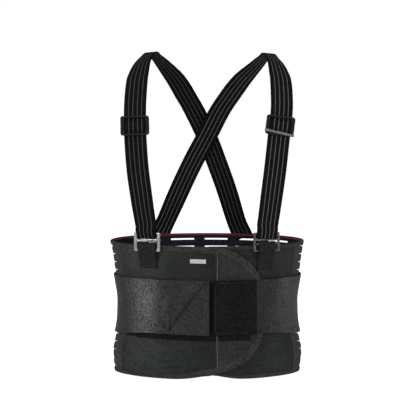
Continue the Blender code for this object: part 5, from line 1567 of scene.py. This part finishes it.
    open_ = [0.0007 + (r_t - 0.0007) * float(smooth(i / (m_ - 1), 0.25, 0.78)) for i in range(m_)]
    run_v = 0.0
    for i in range(m_):
        q, tt, ww, nn = tab_frame(i)
        stations.append((q + nn * (0.0008 - open_[i]), ww, -nn, i * 0.001))
    q, tt, ww, nn = tab_frame(m_ - 1)
    for k in range(1, 12):
        an = math.pi * k / 12
        o_ = nn * (-math.cos(an) * r_t) + tt * (math.sin(an) * r_t)
        stations.append((q + nn * 0.0008 + o_, ww, o_.normalized(), 0.05 + k * 0.0006))
    for i in reversed(range(m_)):
        q, tt, ww, nn = tab_frame(i)
        stations.append((q + nn * (0.0008 + open_[i]), ww, nn, 0.06 + (m_ - i) * 0.001))
    tabw = 0.0285 if side == "left" else 0.0255
    tb_ = web(side + "_anchor_tab_web", stations, tabw, 0.0013, "webtab")
    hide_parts(side + "_anchor_tab")
    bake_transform(tb_)
    rows = []
    for zz in (foot_z + 0.0030, foot_z + 0.0067):
        i0 = min(range(m_), key=lambda i: abs(line[i].z - zz))
        q, tt, ww, nn = tab_frame(i0)
        c_ = q + nn * (0.0008 + open_[i0] + 0.00068)
        xs = np.linspace(-tabw / 2 + 0.002, tabw / 2 - 0.002, 12)
        rows.append((np.array([c_ + ww * x for x in xs]), np.array([nn for _x in xs])))
    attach(stitches(side + "_anchor_tab_stitching", rows, pitch=0.0026, length=0.0019), wing)

    # rear anchor patch over the strap's tail
    s_c = float(s_of(ANCHOR_TH[side]))
    half = 0.0192

    def patch_disp(s, z, s_c=s_c):
        d = half - np.abs(s - s_c)
        return -0.0062 * (1 - smooth(d, -0.0002, 0.0024)) + 0.00012 * vnoise(s * 160, z * 160, 5)

    ap = pad(side + "_rear_anchor_cloth", s_c - half, s_c + half, 0.1992, 0.2070, 0.0104, 0.0011, "panel", 0.0020, 0.0012,
             patch_disp)
    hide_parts(side + "_rear_anchor_patch")
    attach(ap, "back")
    off_a = 0.01155
    za, zb_, sa_, sb_ = 0.2008, 0.2054, s_c - 0.0150, s_c + 0.0150
    rows = [level_row(sa_, sb_, za, off_a, 20), level_row(sa_, sb_, zb_, off_a, 20),
            ring_row(np.full(6, sa_), np.linspace(za, zb_, 6), off_a),
            ring_row(np.full(6, sb_), np.linspace(za, zb_, 6), off_a)]
    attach(stitches(side + "_rear_anchor_stitching", rows, pitch=0.0028), "back")

# the stays keep their solids inside the tapes
for k in range(1, 7):
    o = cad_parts["spring_stay_%d" % k]
    for sl in o.material_slots:
        sl.material = M["steel"]

# ------------------------------------------------------------------ floor, light and camera
def stage_material():
    k = Nodes("studio_floor")
    g = k.noise(6.0, 2.0, 0.5)
    col = k.mix(k.remap(g, 0.4, 0.6, 0.0, 1.0), (0.93, 0.93, 0.93), (0.95, 0.95, 0.95))
    k.out(col, 0.85, spec=0.05)
    k.put(k.bsdf.inputs["Emission Color"], (1.0, 1.0, 1.0))
    ray = k.node("ShaderNodeLightPath")
    k.put(k.bsdf.inputs["Emission Strength"], k.math("MULTIPLY_ADD", ray.outputs["Is Camera Ray"], 0.62, 0.20))
    return k.mat


fm = bpy.data.meshes.new("studio_floor")
fm.from_pydata([(-6, -6, -0.0022), (6, -6, -0.0022), (6, 6, -0.0022), (-6, 6, -0.0022)], [], [(0, 1, 2, 3)])
fm.materials.append(stage_material())
floor = bpy.data.objects.new("studio_floor", fm)
bpy.context.scene.collection.objects.link(floor)

world = bpy.data.worlds.new("studio")
bpy.context.scene.world = world
world.use_nodes = True
wt = world.node_tree
bg = wt.nodes["Background"]
lp = wt.nodes.new("ShaderNodeLightPath")
mx = wt.nodes.new("ShaderNodeMix")
mx.data_type = "FLOAT"
mx.inputs["A"].default_value = 0.24
mx.inputs["B"].default_value = 1.0
wt.links.new(lp.outputs["Is Camera Ray"], mx.inputs["Factor"])
bg.inputs["Color"].default_value = (1, 1, 1, 1)
wt.links.new(mx.outputs["Result"], bg.inputs["Strength"])


def area(name, at, to, size, power, size_y=None):
    ld = bpy.data.lights.new(name, "AREA")
    ld.energy = power
    ld.size = size
    if size_y:
        ld.shape = "RECTANGLE"
        ld.size_y = size_y
    o = bpy.data.objects.new(name, ld)
    bpy.context.scene.collection.objects.link(o)
    o.location = at
    o.rotation_euler = (Vector(to) - Vector(at)).to_track_quat("-Z", "Y").to_euler()
    return o


area("key_left", (-1.35, -1.25, 0.80), (-0.08, 0, 0.14), 0.7, 25, 1.1)
area("key_right", (1.60, -0.85, 0.60), (0.10, 0, 0.13), 0.5, 17, 1.0)
area("top_soft", (0.0, -0.35, 1.9), (0, 0, 0.2), 1.6, 16)
area("front_fill", (0.0, -2.3, 0.9), (0, 0, 0.2), 1.4, 5)

cam_data = bpy.data.cameras.new("camera")
cam_data.lens = 99.87
cam_data.sensor_width = 36.0
cam_data.clip_start = 0.05
cam = bpy.data.objects.new("camera", cam_data)
bpy.context.scene.collection.objects.link(cam)
cam.location = (0.001, -1.8, 0.3876)
cam.rotation_euler = (math.radians(90 - 4.16), 0, 0)
bpy.context.scene.camera = cam
bpy.context.scene.view_settings.view_transform = "Standard"

bpy.context.view_layer.update()
